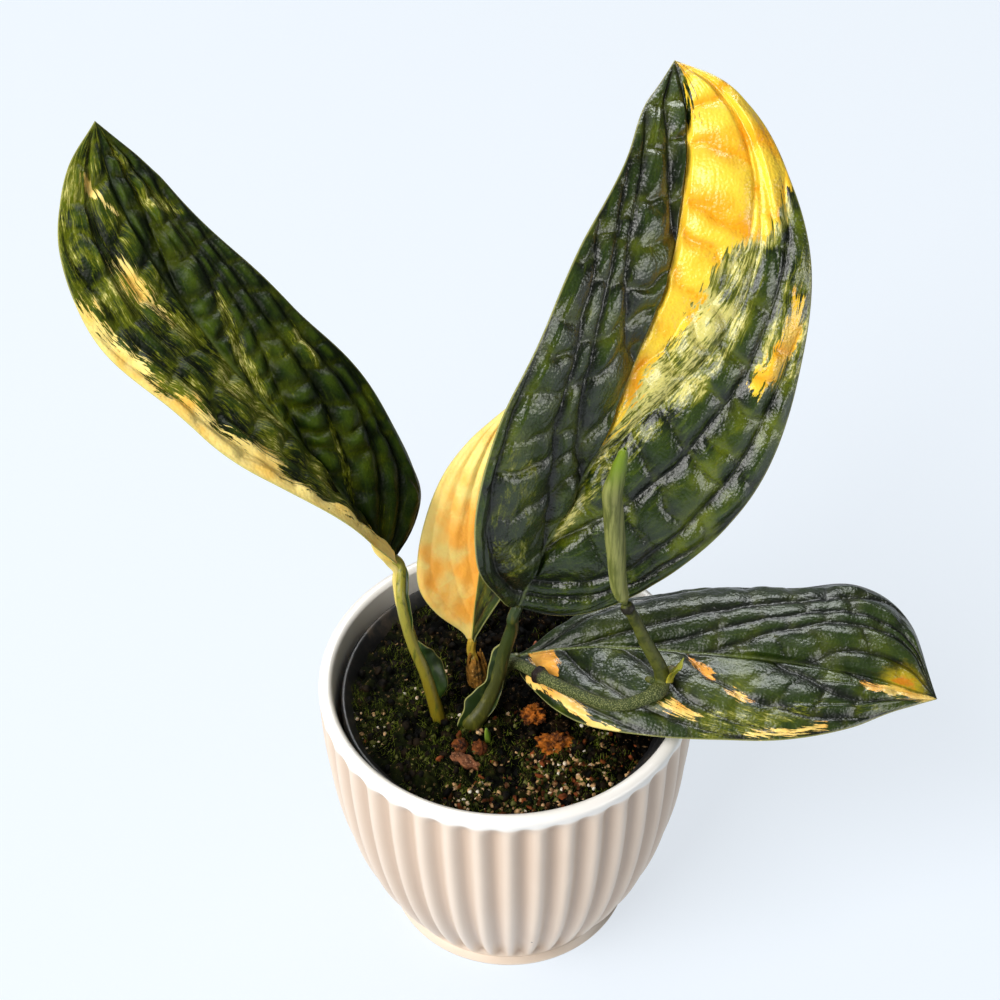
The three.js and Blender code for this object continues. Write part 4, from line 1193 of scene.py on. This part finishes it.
def scatterTree():  # small uneven grains or blades strewn over a surface
    tree, given = makeTree("strewn_grains", {
        "Density": 10000.0, "Spacing": 0.001, "Smallest": 0.0005, "Largest": 0.0015, "Flatness": 0.7,
        "Uneven": 0.3, "Sink": 0.3, "Upright": False, "Seed": 1, "Zone x": 0.0, "Zone y": 0.0,
        "Zone pull": 0.0, "Zone base": 0.5, "Material": None,
    })
    x, y, z = parts(nodePosition(tree))
    onTop = calc("GREATER_THAN", z, soilRules["lowestTop"] * mm)
    patchy = nodeNoise(nodePosition(tree), 70.0) * given["Zone pull"]
    away = x * given["Zone x"] + y * given["Zone y"]
    pull = calc("ADD", away + patchy, given["Zone base"], True)
    points = put(tree, "GeometryNodeDistributePointsOnFaces", {
        "Mesh": given["Geometry"], "Distance Min": given["Spacing"], "Density Max": given["Density"],
        "Density Factor": onTop * pull, "Seed": given["Seed"],
    }, distribute_method="POISSON")
    grain = put(tree, "GeometryNodeMeshIcoSphere", {"Radius": 1.0, "Subdivisions": 2})
    blade = put(tree, "GeometryNodeMeshCone", {
        "Vertices": 4, "Side Segments": 1, "Radius Top": 0.02, "Radius Bottom": 0.12, "Depth": 2.0,
    })
    spin = drawn(tree, (0, 0, 0), (6.28, 6.28, 6.28), given["Seed"])
    lean = drawn(tree, (-0.8, -0.8, 0), (0.8, 0.8, 6.28), given["Seed"])
    size = drawn(tree, given["Smallest"], given["Largest"], given["Seed"])
    wide = drawn(tree, 0.75, 1.25, 9)
    strewn = put(tree, "GeometryNodeInstanceOnPoints", {
        "Points": points,
        "Instance": choice(given["Upright"], grain, blade, "GEOMETRY"),
        "Rotation": choice(given["Upright"], spin, lean, "VECTOR"),
        "Scale": put(tree, "ShaderNodeCombineXYZ", {0: size * wide, 1: size, 2: size * given["Flatness"]}),
    })
    real = put(tree, "GeometryNodeRealizeInstances", {"Geometry": strewn})
    shake = {"Vector": nodePosition(tree), "Scale": 1300.0, "Detail": 2.0}
    centred = vectorCalc("SUBTRACT", put(tree, "ShaderNodeTexNoise", shake, 1), (0.5, 0.5, 0.5))
    push = scaled(centred, given["Uneven"] * given["Largest"])
    sunk = put(tree, "ShaderNodeCombineXYZ", {2: given["Sink"] * (given["Largest"] * -1.0)})
    placed = moved(real, "Offset", vectorCalc("ADD", push, sunk))
    return endTree(tree, placed, given["Material"])


bed = soilMesh(earthMaterial())
addPiece("soil_bed", bed, "soil", "soil")
scattering = scatterTree()
strewing = {
    "crumbs": {
        "tones": ("dark", "crumb", 0.5), "Density": 2.4e5, "Spacing": 0.0015, "Smallest": 0.0005,
        "Largest": 0.0018, "Flatness": 0.8, "Seed": 3,
    },
    "bark_bits": {
        "tones": ("fibreDark", "bark", 0.5), "Density": 1.6e5, "Spacing": 0.0018, "Smallest": 0.0004,
        "Largest": 0.0016, "Flatness": 0.5, "Seed": 8,
        "Zone x": 8.0, "Zone y": -16.0, "Zone base": -0.15, "Zone pull": 3.0,
    },
    "tan_grains": {
        "tones": ("fibreDark", "tan", 0.45), "Density": 5e5, "Spacing": 0.0011, "Smallest": 0.0003,
        "Largest": 0.0011, "Seed": 12, "Zone y": -26.0, "Zone base": -0.6, "Zone pull": 3.5,
    },
    "olive_grains": {
        "tones": ("moss", "olive", 0.45), "Density": 3e5, "Spacing": 0.0012, "Smallest": 0.0003,
        "Largest": 0.0012, "Seed": 15,
        "Zone x": -8.0, "Zone y": -20.0, "Zone base": -0.35, "Zone pull": 3.5,
    },
    "white_grit": {
        "tones": ("tan", "grit", 0.4), "Density": 2.6e5, "Spacing": 0.0012, "Smallest": 0.0002,
        "Largest": 0.0009, "Flatness": 0.8, "Uneven": 0.8, "Seed": 21,
        "Zone x": -5.0, "Zone y": -14.0, "Zone base": -0.4, "Zone pull": 6.0,
    },
    "moss_tufts": {
        "tones": ("moss", "mossTip", 0.5), "Density": 2.4e6, "Spacing": 0.00045, "Smallest": 0.0004,
        "Largest": 0.0011, "Flatness": 1.0, "Upright": True, "Sink": 0.0, "Uneven": 0.0, "Seed": 30,
        "Zone x": -14.0, "Zone y": -8.0, "Zone base": 0.4, "Zone pull": 10.0,
    },
}
for name, item in strewing.items():
    dark, light, rough = item["tones"]
    material = grainMaterial(name, soilTones[dark], soilTones[light], rough)
    values = {"Flatness": 0.7, "Uneven": 1.0, **item, "Material": material}
    grains = growMesh(name, bed.copy(), scattering, values)
    addPiece(name, grains, "soil")
    print("stage:", name, len(grains.polygons), "faces")


# Stalks and stems: a circle swept along a path, its surface made uneven

def stalkTree():
    tree, given = makeTree("swept_stalk", {
        "Sides": 24, "Lumps": 0.0002, "Lump size": 200.0, "Ridges": 0.0, "Ridge count": 9.0,
        "Material": None,
    })
    path = keepField(given["Geometry"], "along", put(tree, "GeometryNodeSplineParameter"))
    circle = put(tree, "GeometryNodeCurvePrimitiveCircle", {"Resolution": given["Sides"], "Radius": 1.0})
    ring = keepField(circle, "around", put(tree, "GeometryNodeSplineParameter"))
    swept = put(tree, "GeometryNodeCurveToMesh", {
        "Curve": path, "Profile Curve": ring, "Fill Caps": True,
        "Scale": put(tree, "GeometryNodeInputRadius"),
    })
    lumps = nodeNoise(nodePosition(tree), given["Lump size"], 4.0) * given["Lumps"]
    ridges = calc("SINE", namedField(tree, "around") * given["Ridge count"] * fullTurn) * given["Ridges"]
    lift = scaled(put(tree, "GeometryNodeInputNormal"), lumps + ridges)
    return endTree(tree, moved(swept, "Offset", lift), given["Material"])


def stalkMesh(name, points, radii, material, sides, lumps, size, ridges=0.0, count=9, spacing=0.5):
    curve = makeCurve(points)
    share = np.linspace(0, 1, max(8, round(curve["length"] / spacing)) + 1)
    near = np.array([0.15, 0.45]) * share[1]
    share = np.sort(np.r_[share, near, 1 - near])
    radius = eased(radii, share)
    room = np.minimum(share, 1 - share) * curve["length"]
    gap = 1 - np.clip(room / np.maximum(radius, 0.1), 0, 1)  # rounds both ends off
    radius = radius * np.sqrt(np.clip(1 - gap**2, 0.02, 1))
    data = bpy.data.curves.new(name, "CURVE")
    data.dimensions = "3D"
    spline = data.splines.new("POLY")
    spline.points.add(len(share) - 1)
    spline.points.foreach_set("co", np.c_[curveAt(curve, share) * mm, np.ones(len(share))].ravel())
    spline.points.foreach_set("radius", radius * mm)
    values = {
        "Sides": sides, "Lumps": lumps * mm, "Lump size": size, "Ridges": ridges * mm,
        "Ridge count": float(count), "Material": material,
    }
    return tidyMesh(growMesh(name, data, sweeping, values), 1e-7)


def wingMesh(name, points, wing, material):  # wavy thin flange that stands out from a stalk
    curve = makeCurve(points)
    f = np.linspace(0, 1, wing["rows"])
    t = wing["from"] + (wing["to"] - wing["from"]) * f
    at, along = curveAt(curve, t), curveAlong(curve, t)
    out = square(np.array(wing["outward"], float), along)
    up = np.cross(out, along)
    share = np.linspace(0, 1, wing["columns"])[:, None]
    width = eased(wing["widths"], f)
    bend = wing["wave"] * share**2 * np.sin(2 * np.pi * wing["waves"] * f) + wing["roll"] * share**3 * width
    ruffle = 0.25 * share**2 * np.sin(2 * np.pi * 5.3 * f + 1)
    point = at + out * (share * width)[..., None] + up * (bend + ruffle)[..., None]
    half = up * (0.75 - 0.45 * share + 0 * f)[..., None] / 2
    fields = {"along": f + 0 * bend, "rim": (1 - share) * width}
    return sheetMesh(name, point + half, point - half, fields, material)


def stemMaterial(name, low, high, streak, options):
    option = {"streaks": 0.6, "specks": 0.15, "speckTone": streak, "rough": 0.25, **options}
    material = newMaterial(name, {
        "Specular IOR Level": 0.25, "Coat Weight": 0.05, "Coat Roughness": 0.2,
        "Subsurface Weight": 0.1, "Subsurface Scale": 0.001, "Subsurface Radius": (1.2, 1.0, 0.4),
    })
    place = objectPlace(material)
    long = grainNoise(place, (500, 500, 60), 4, 0.6)
    fine = grainNoise(place, (1600, 1600, 700), 4, 0.7)
    mixed = field(material, "along") + (long - 0.5) * 0.6
    colour = blend(spread(mixed, 0.1, 0.9), low, high)
    colour = blend(spread(long, 0.5, 0.68) * option["streaks"], colour, streak)
    colour = blend(spread(fine, 0.6, 0.66) * option["specks"], colour, option["speckTone"])
    if "margin" in option:
        colour = blend(spread(field(material, "rim"), 0.16, 0.02) * 0.7, colour, option["margin"])
    return dress(material, colour, fine * 0.3 + option["rough"], fine * 0.5 + long, 0.0004, 0.4)


def toLeaf(leafName, points):  # carries a stalk's path on into the foot of its blade
    curve = leaves[leafName]["curve"]
    foot, along = curveAt(curve, 0.0), curveAlong(curve, 0.0)
    return [*points, foot - 4 * along, foot + 1.2 * along]


sweeping = stalkTree()

petioles = {
    "left_petiole": {
        "leaf": "left_leaf",
        "slot": "stalk_yellow_green",
        "path": [(-21.5, -9, 81.5), (-22, -8.8, 91), (-25.5, -4.2, 106), (-29.5, -1, 118), (-32.5, 3, 133)],
        "radii": [(0, 2.4), (0.5, 1.9), (1, 1.6)],
        "wings": [
            {"from": 0.2, "to": 0.6, "outward": (1, -0.25, 0), "wave": 1.3, "waves": 1.5, "roll": -0.45,
             "widths": [(0, 1), (0.25, 5.6), (0.7, 4.6), (1, 1)]},
            {"from": 0.55, "to": 0.985, "outward": (1, -0.1, 0.1), "wave": 0.5, "waves": 1.2, "roll": 0.3,
             "widths": [(0, 1), (0.4, 2.8), (0.75, 2.6), (1, 0.4)]},
        ],
        "tones": ((112, 98, 18), (150, 144, 52), (66, 76, 18)),
        "options": {"streaks": 0.85, "specks": 0.2},
        "wingTones": ((32, 52, 12), (24, 44, 10), (70, 92, 24)),
    },
    "centre_petiole": {
        "leaf": "big_leaf",
        "slot": "stalk_green",
        "path": [
            (-12, -14, 92), (-11.2, -13.8, 94.5), (-7.5, -12, 99.5),
            (-4, -8.8, 107), (-1, -6.5, 118), (1.8, -6.8, 130),
        ],
        "radii": [(0, 3.6), (0.25, 2.9), (0.6, 2.1), (1, 1.7)],
        "wings": [
            {"from": 0.02, "to": 0.72, "outward": (-0.8, -0.6, 0), "wave": 1.2, "waves": 1.6, "roll": 0.35,
             "widths": [(0, 4), (0.25, 6), (0.6, 3.6), (1, 1)]},
            {"from": 0.05, "to": 0.6, "outward": (1, -0.2, 0.2), "wave": 0.7, "waves": 1, "roll": 0.2,
             "widths": [(0, 2), (0.3, 3.6), (1, 1)]},
        ],
        "tones": ((62, 64, 18), (44, 58, 24), (92, 90, 28)),
        "options": {"streaks": 0.7, "specks": 0.2},
        "wingTones": ((26, 42, 10), (24, 40, 12), (70, 86, 28)),
    },
    "yellow_petiole": {
        "leaf": "yellow_leaf",
        "slot": "stalk_yellow_green",
        "path": [(-9.6, 4.8, 83.5), (-9.8, 5.2, 92), (-10.2, 7.2, 98.5)],
        "radii": [(0, 1.7), (1, 1.4)],
        "wings": [],
        "tones": ((120, 100, 34), (190, 156, 52), (90, 96, 30)),
        "options": {},
    },
    "right_petiole": {
        "leaf": "right_leaf",
        "slot": "stalk_green",
        "path": [(-3.5, 10.5, 83.5), (-3.2, 10, 92), (-1.2, 7.5, 100.5)],
        "radii": [(0, 2), (1, 1.5)],
        "wings": [],
        "tones": ((58, 66, 20), (48, 62, 28), (110, 106, 50)),
        "options": {},
    },
}

wingGrid = {"rows": 70, "columns": 10}
wingOptions = {"streaks": 0.5, "specks": 0.1, "margin": (164, 162, 96)}

flap = {
    "from": 0.5, "to": 1.0, "outward": (-0.5, -0.9, 0.1), "wave": 0.5, "waves": 0.9, "roll": 0.3,
    "widths": [(0, 0.3), (0.5, 3.0), (0.7, 3.6), (0.9, 2.4), (1, 0.8)], "rows": 50, "columns": 12,
    "tones": ((206, 186, 92), (246, 222, 138), (214, 196, 104)),
}

for name, item in petioles.items():
    path = toLeaf(item["leaf"], item["path"])
    if item["wings"]:
        finish = stemMaterial(name + "_wing_finish", *item["wingTones"], wingOptions)
        wings = [wingMesh(name + "_wing", path, {**wing, **wingGrid}, finish) for wing in item["wings"]]
        addPiece(name + "_wings", joinMeshes(name + "_wings", wings), item["slot"])
    finish = stemMaterial(name + "_finish", *item["tones"], item["options"])
    stalk = stalkMesh(name, path, item["radii"], finish, 28, 0.25, 160.0, 0.06, 7)
    addPiece(name + "_stalk", stalk, item["slot"], name)
spine = leaves["left_leaf"]["curve"]
path = toLeaf("left_leaf", petioles["left_petiole"]["path"])[:-1]
path += [curveAt(spine, 0.05), curveAt(spine, 0.11)]
finish = stemMaterial("flap_finish", *flap["tones"], {"streaks": 0.5})
addPiece("left_petiole_flap", wingMesh("left_petiole_flap", path, flap, finish), "stalk_yellow_green")
print("stage: stalks")


# Runner with its scar, node, nub and sheath, and the furled leaf on its end

runner = {
    "path": [
        (-2.5, 3.5, 83.5), (-2.4, 3.4, 92), (-1, 0.6, 102), (3, -3.2, 110), (10.7, -12, 113.5),
        (20.5, -19.6, 114.5), (32.7, -25.6, 115), (43.5, -24.2, 117.6), (47.3, -20.5, 119.2),
        (46.6, -18.4, 124), (42, -17.2, 134), (38.4, -16, 143), (35.3, -16.5, 150),
    ],
    "radii": [
        (0, 1.9), (0.3, 1.9), (0.325, 2.0), (0.337, 2.9), (0.35, 2.5), (0.365, 1.95), (0.6, 1.95),
        (0.66, 2.2), (0.685, 2.8), (0.72, 2.5), (0.78, 2.2), (0.97, 1.8), (0.982, 2.2), (1, 2.1),
    ],
    "node": 0.685,
    "scars": [(0.34, 0.018, (30, 18, 14)), (0.985, 0.012, (28, 24, 14))],
}

furled = {
    "path": [
        (33.2, -16.7, 159), (32, -16.9, 174), (30.8, -17.7, 189), (30.2, -18.7, 197),
        (31.3, -19.2, 204), (32.9, -20.3, 215),
    ],
    "radii": [(0, 1.6), (0.15, 2.3), (0.45, 2.8), (0.72, 2.7), (0.88, 2.0), (0.965, 1.4), (1, 0.6)],
    "turns": 1.35,
    "pale": (132, 134, 72),
    "deep": (86, 92, 36),
    "tip": (104, 126, 22),
}


def runnerMaterial():
    material = newMaterial("runner_skin", {"Specular IOR Level": 0.2})
    place, along = objectPlace(material), field(material, "along")
    warts = cellNoise(place, 2400.0)
    fine = grainNoise(place, 1500, 4, 0.7)
    long = grainNoise(place, 300, 3, 0.6)
    grey = blend(spread(warts, 0.2, 0.6), (132, 136, 84), (56, 66, 28))
    fresh = blend(spread(long, 0.35, 0.65), (54, 60, 16), (92, 94, 32))
    colour = blend(spread(along, 0.66, 0.74), grey, fresh)
    colour = blend(spread(long, 0.5, 0.66) * 0.6, colour, (56, 70, 28))
    for spot, width, dark in runner["scars"]:
        ragged = (long - 0.5) * 0.03 + calc("ABSOLUTE", along - spot)
        colour = blend(spread(ragged, width, width * 0.4), colour, dark)
    height = spread(warts, 0.1, 0.7) * spread(along, 0.74, 0.66)
    return dress(material, colour, fine * 0.4 + 0.3, fine * 0.4 + height, 0.0004, 0.6)


def furledMesh(material):
    curve = makeCurve(runner["path"])
    foot = curveAt(curve, 1.0) - curveAlong(curve, 1.0) * 0.6
    spine = makeCurve([foot, *furled["path"]])
    t, f = gridOf(np.linspace(0, 1, 110), np.linspace(0, 1, 44))
    along = curveAlong(spine, t)
    side = unit(np.cross(along, np.array([0.1, -1.0, 0.1])))
    angle = 2 * np.pi * furled["turns"] * f + 0.9 + 0.9 * t
    radius = eased(furled["radii"], t) * (0.72 + 0.36 * f) * np.minimum(1, 0.25 + 12 * t)
    ring = ringOf(angle, side, np.cross(side, along))
    point = curveAt(spine, t) + ring * radius[..., None]
    half = ring * 0.22 * np.minimum(1, 0.3 + 4 * (1 - t))[..., None]
    fields = {"along": t, "rim": (1 - f) * 2 * np.pi * radius}
    return sheetMesh("furled_leaf", point + half, point - half, fields, material)


def furledMaterial():
    material = newMaterial("furled_skin", {
        "Specular IOR Level": 0.25, "Coat Weight": 0.05, "Coat Roughness": 0.25,
        "Subsurface Weight": 0.15, "Subsurface Scale": 0.001, "Subsurface Radius": (1.0, 1.2, 0.4),
    })
    along = field(material, "along")
    long = grainNoise(objectPlace(material), (700, 700, 50), 4, 0.6)
    colour = blend(spread(long, 0.4, 0.62), furled["pale"], furled["deep"])
    colour = blend(spread(along, 0.72, 0.95), colour, furled["tip"])
    colour = blend(spread(field(material, "rim"), 0.8, 0.1), colour, (170, 180, 104))
    colour = blend(spread(along, 0.06, 0.01), colour, (60, 66, 26))
    return dress(material, colour, long * 0.3 + 0.3, long, 0.0003, 0.4)


nodeSheath = {
    "above": 0.035,
    "height": 7.5,
    "reach": 3.1,
    "flare": 2.4,
    "halfThickness": 0.2,
    "tones": ((170, 160, 40), (146, 150, 40), (112, 72, 20)),
    "options": {"streaks": 0.8, "specks": 0.3, "speckTone": (110, 66, 18)},
}


def nodeSheathMesh(material):
    curve = makeCurve(runner["path"])
    place = runner["node"] + nodeSheath["above"]
    along = curveAlong(curve, place)
    right = square(np.array([1.0, 0, 0]), along)
    f, j = gridOf(np.linspace(0, 1, 30), np.linspace(0, 1, 26))
    angle = np.pi * (-0.42 + 0.84 * j)
    ring = ringOf(angle, right, np.cross(along, right))
    ragged = 0.5 * np.sin(5 * angle + 1) * f + 0.25 * np.sin(13 * angle) * f
    rise = (nodeSheath["height"] * f * (1 - 0.45 * np.abs(angle)) + ragged)[..., None]
    reach = (nodeSheath["reach"] + nodeSheath["flare"] * f * f + 0.2 * np.sin(9 * angle) * f)[..., None]
    point = curveAt(curve, place) + ring * reach + along * rise
    half, fields = ring * nodeSheath["halfThickness"], {"along": f, "rim": (1 - f) * 7}
    return sheetMesh("node_sheath", point + half, point - half, fields, material)


skin = runnerMaterial()
nubFoot = curveAt(makeCurve(runner["path"]), runner["node"] + 0.03)
nub = [nubFoot + np.array(step) for step in ((0, 0, 0), (-2.6, 0.4, 0.2), (-5.2, 1.2, 0.8))]
stems = [
    stalkMesh("runner", runner["path"], runner["radii"], skin, 32, 0.5, 330.0, 0.05, 6, 0.35),
    stalkMesh("nub", nub, [(0, 1.3), (0.7, 1.1), (1, 0.9)], skin, 20, 0.3, 300.0),
]
addPiece("runner_stem", joinMeshes("runner_stem", stems), "runner", "runner")
addPiece("furled_blade", furledMesh(furledMaterial()), "young_green", "furled_leaf")
finish = stemMaterial("node_sheath_finish", *nodeSheath["tones"], nodeSheath["options"])
addPiece("node_cuff", nodeSheathMesh(finish), "young_green", "node_sheath")
print("stage: runner")


# Small things at the soil

def crustMaterial(name, dark, light, glint, scale, bump):
    material = newMaterial(name, {"Specular IOR Level": 0.12})
    place = objectPlace(material)
    coarse, fine = grainNoise(place, scale, 5, 0.7), grainNoise(place, scale * 4, 4, 0.7)
    colour = blend(spread(coarse, 0.36, 0.6), dark, light)
    colour = blend(spread(fine, 0.58, 0.7), colour, glint)
    return dress(material, colour, fine * 0.4 + 0.35, fine * 0.6 + coarse, bump, 0.7)


def lumpMesh(name, centre, size, seed, material, depth=0.55, detail=5):  # ragged ball of fibre or bark
    mesh = bpy.data.meshes.new(name)
    edit = bmesh.new()
    bmesh.ops.create_icosphere(edit, subdivisions=detail, radius=1.0)
    for vertex in edit.verts:
        spot = vertex.co * 1.7 + Vector((seed, seed * 2.0, 0))
        bulge = 1 + depth * noise.fractal(spot, 0.6, 2.2, 5) + 0.18 * noise.noise(spot * 5)
        point = vertex.co * bulge
        vertex.co = Vector([point[k] * size[k] + centre[k] for k in range(3)]) * mm
    edit.to_mesh(mesh)
    edit.free()
    mesh.materials.append(material)
    return tidyMesh(mesh)


barkChip = {
    "centre": (-13.2, -28.6, 0),
    "along": (0.93, -0.36, 0),
    "across": (0.36, 0.93, 0),
    "halfLength": 4.4,
    "halfWidth": 2.2,
    "above": 1.25,
    "crust": 0.25,
    "below": 1.15,
}

drySheath = {
    "centre": (-9.7, 5, 92.2),
    "height": 10.0,
    "reach": 2.2,
    "swell": 1.1,
    "start": 0.85,
    "turn": 1.62,
    "halfThickness": 0.18,
}


def chipMesh(material):
    along, across = np.array(barkChip["along"]), np.array(barkChip["across"])
    f, g = gridOf(np.linspace(-1, 1, 46), np.linspace(-1, 1, 24))
    width = barkChip["halfWidth"] - 1.0 * np.abs(f) + 0.25 * np.sin(7 * f)
    length = barkChip["halfLength"] + 0.4 * np.sin(5 * g)
    point = np.array(barkChip["centre"]) + along * (f * length)[..., None]
    point = point + across * (g * width)[..., None]
    grain = 0.12 * np.sin(21 * g + 3 * f) + 0.1 * np.sin(9 * f + 5 * g)
    point[..., 2] = soilHeight(point[..., 0], point[..., 1]) + barkChip["above"] - 0.25 * g * g + grain
    top, foot = point + np.array([0, 0, barkChip["crust"]]), point - np.array([0, 0, barkChip["below"]])
    return sheetMesh("bark_chip", top, foot, {"along": (f + 1) / 2}, material)


def drySheathMesh(material):
    f, j = gridOf(np.linspace(0, 1, 60), np.linspace(0, 1, 70))
    angle = np.pi * (drySheath["start"] + drySheath["turn"] * j)
    ring = ringOf(angle, np.array([1.0, 0, 0]), np.array([0, 1.0, 0]))
    folds = 0.35 * np.sin(5 * angle + 2 * f) * f + 0.16 * np.sin(17 * angle + 3 * f)
    swell = drySheath["swell"] * np.sin(np.pi * (0.1 + 0.8 * f))
    reach = drySheath["reach"] + swell - 0.7 * f + folds + 0.6 * j
    rise = f * (drySheath["height"] + 1.8 * np.sin(3 * angle) + 0.8 * np.sin(11 * angle) * f)
    point = np.array(drySheath["centre"]) + ring * reach[..., None]
    point = point + np.stack([-0.4 * f, 1.8 * f, rise], -1)
    half = ring * drySheath["halfThickness"]
    return sheetMesh("dry_sheath", point + half, point - half, {"along": f}, material)


crusts = {  # dark, light and glint, size of the grain, and depth of the bump
    "fibre_crust": (soilTones["fibreDark"], soilTones["fibre"], (206, 142, 80), 330.0, 0.0012),
    "stub_crust": ((36, 17, 10), (118, 62, 24), (160, 106, 70), 420.0, 0.0008),
    "bark_crust": ((78, 44, 26), (134, 84, 54), (196, 150, 112), 500.0, 0.0006),
    "sheath_crust": ((46, 36, 16), (150, 104, 40), (204, 160, 96), 240.0, 0.0008),
}
fibre, stubCrust, barkCrust, sheathCrust = (crustMaterial(name, *item) for name, item in crusts.items())

lumps = {
    "fibre_lump_left": {"centre": (8.2, -9.5, 92.2), "size": (3.6, 3.2, 2.6), "seed": 3},
    "fibre_lump_right": {"centre": (14.8, -22, 92.4), "size": (5, 3.6, 3), "seed": 5},
}
for name, item in lumps.items():
    mesh = lumpMesh(name, item["centre"], item["size"], item["seed"], fibre)
    addPiece(name + "_crust", mesh, "fibre", name)

stubs = {
    "stem": [(-12.5, -12, 60), (-12, -13, 74), (-12, -14, 84), (-12, -14, 91.5)],
    "stemRadii": [(0, 3), (0.6, 4.2), (1, 4)],
    "ends": [(-14.8, -22.3, 94.5), (-9.2, -23, 94.2)],
    "endRadii": [(0, 2.4), (0.8, 2.8), (0.93, 3.2), (1, 2.8)],
    "scar": (1.7, 1.7, 0.8),
    "roots": [(25, -22, 30), (-30, -14, 36), (6, 30, 28), (-26, 20, 22), (-4, -34, 26)],
    "rootRadii": [(0, 1.9), (1, 0.9)],
}
stems = [stalkMesh("rootstock", stubs["stem"], stubs["stemRadii"], stubCrust, 28, 0.7, 260.0)]
for x, y, z in stubs["ends"]:
    route = [(-12, -15, 82), (x, y + 1, 89), (x, y, z)]
    stems.append(stalkMesh("stub", route, stubs["endRadii"], stubCrust, 30, 0.8, 380.0, 0.1, 11, 0.3))
    stems.append(lumpMesh("stub_scar", (x, y, z - 0.2), stubs["scar"], x, stubCrust, 0.5, 4))
for k, end in enumerate(stubs["roots"]):
    middle = (-12 + (end[0] + 12) * 0.55, -13 + (end[1] + 13) * 0.55, 58 - 2 * k)
    route = [(-12.2, -12.6, 66), middle, end]
    stems.append(stalkMesh("root", route, stubs["rootRadii"], stubCrust, 12, 0.3, 200.0, spacing=1.5))
addPiece("rootstock_stubs", joinMeshes("rootstock_stubs", stems), "rootstock", "rootstock")

shootFinish = stemMaterial("shoot_finish", (120, 140, 40), (96, 128, 34), (150, 160, 70), {})
dryTones = ((112, 58, 42), (160, 96, 70), (206, 150, 116))
dryFinish = stemMaterial("dry_stalk_finish", *dryTones, {"rough": 0.45})
thinStalks = {
    "sprout_left": ([(-23.5, -3.5, 86), (-23.6, -3.2, 92), (-25.2, -3.8, 96.5)], 0.9),
    "sprout_right": ([(-6.2, -19.2, 86), (-6.2, -19, 92), (-6.6, -19.6, 98)], 1.0),
    "dry_stalk_left": ([(7, 13.5, 86), (7.2, 13.4, 92), (9.6, 14.5, 101)], 0.75),
    "dry_stalk_right": ([(9.6, 10.5, 86), (9.7, 10.4, 92), (12.6, 11.6, 100.5)], 0.7),
}
for name, (route, radius) in thinStalks.items():
    finish, slot = (dryFinish, "bark") if name.startswith("dry") else (shootFinish, "young_green")
    radii = [(0, radius), (0.7, radius), (1, radius * 0.45)]
    mesh = stalkMesh(name, route, radii, finish, 18, 0.25, 350.0, 0.05, 5, 0.3)
    addPiece(name + "_stem", mesh, slot, name)

addPiece("bark_flake", chipMesh(barkCrust), "bark", "bark_chip")
addPiece("dry_sheath_husk", drySheathMesh(sheathCrust), "dry_sheath", "dry_sheath")
print("stage: small things")


# Floor and light

studio = {
    "floor": 8.0,
    "floorTone": (0.2, 0.222, 0.246, 1.0),
    "floorGlow": 0.73,
    "glowTone": (0.87, 0.93, 1.0, 1.0),
    "worldTone": (0.9, 0.95, 1.0, 1.0),
    "worldStrength": 0.14,
    "aim": (0.0, 0.0, 0.12),
    "lights": {  # place, size, power and tone, and whether the light shows in the gloss alone
        "key": ((-1.5, -1.3, 1.95), (1.8, 1.8), 107, (1.0, 0.985, 0.96), False),
        "overhead": ((-0.2, 0.9, 2.6), (3.0, 3.0), 14, (0.97, 0.99, 1.0), False),
        "back sheen": ((0.2, 1.7, 2.0), (1.9, 0.8), 68, (0.97, 0.99, 1.0), True),
        "side sheen": ((1.7, -0.9, 0.55), (1.3, 0.7), 24, (1.0, 1.0, 0.96), True),
    },
}


def makeStudio(setup):
    edge = setup["floor"] / 2
    mesh = bpy.data.meshes.new("floor")
    corners = [(-edge, -edge, 0), (edge, -edge, 0), (edge, edge, 0), (-edge, edge, 0)]
    mesh.from_pydata(corners, [], [(0, 1, 2, 3)])
    mesh.materials.append(newMaterial("floor", {
        "Base Color": setup["floorTone"], "Roughness": 0.9,
        "Emission Color": setup["glowTone"], "Emission Strength": setup["floorGlow"],
    }))
    addObject("floor", mesh)
    world = bpy.data.worlds.new("studio")
    world.use_nodes = True
    background = world.node_tree.nodes["Background"]
    background.inputs[0].default_value = setup["worldTone"]
    background.inputs[1].default_value = setup["worldStrength"]
    bpy.context.scene.world = world
    for name, (place, size, power, tone, isSheen) in setup["lights"].items():
        data = bpy.data.lights.new(name, "AREA")
        data.shape = "RECTANGLE"
        data.size, data.size_y = size
        data.energy = power
        data.color = tone
        lamp = addObject(name, data)
        lamp.location = place
        lamp.visible_diffuse = not isSheen
        aim = Vector(setup["aim"]) - Vector(place)
        lamp.rotation_euler = aim.to_track_quat("-Z", "Y").to_euler()


makeStudio(studio)
bpy.context.scene.view_settings.view_transform = "Standard"
print("stage: studio")
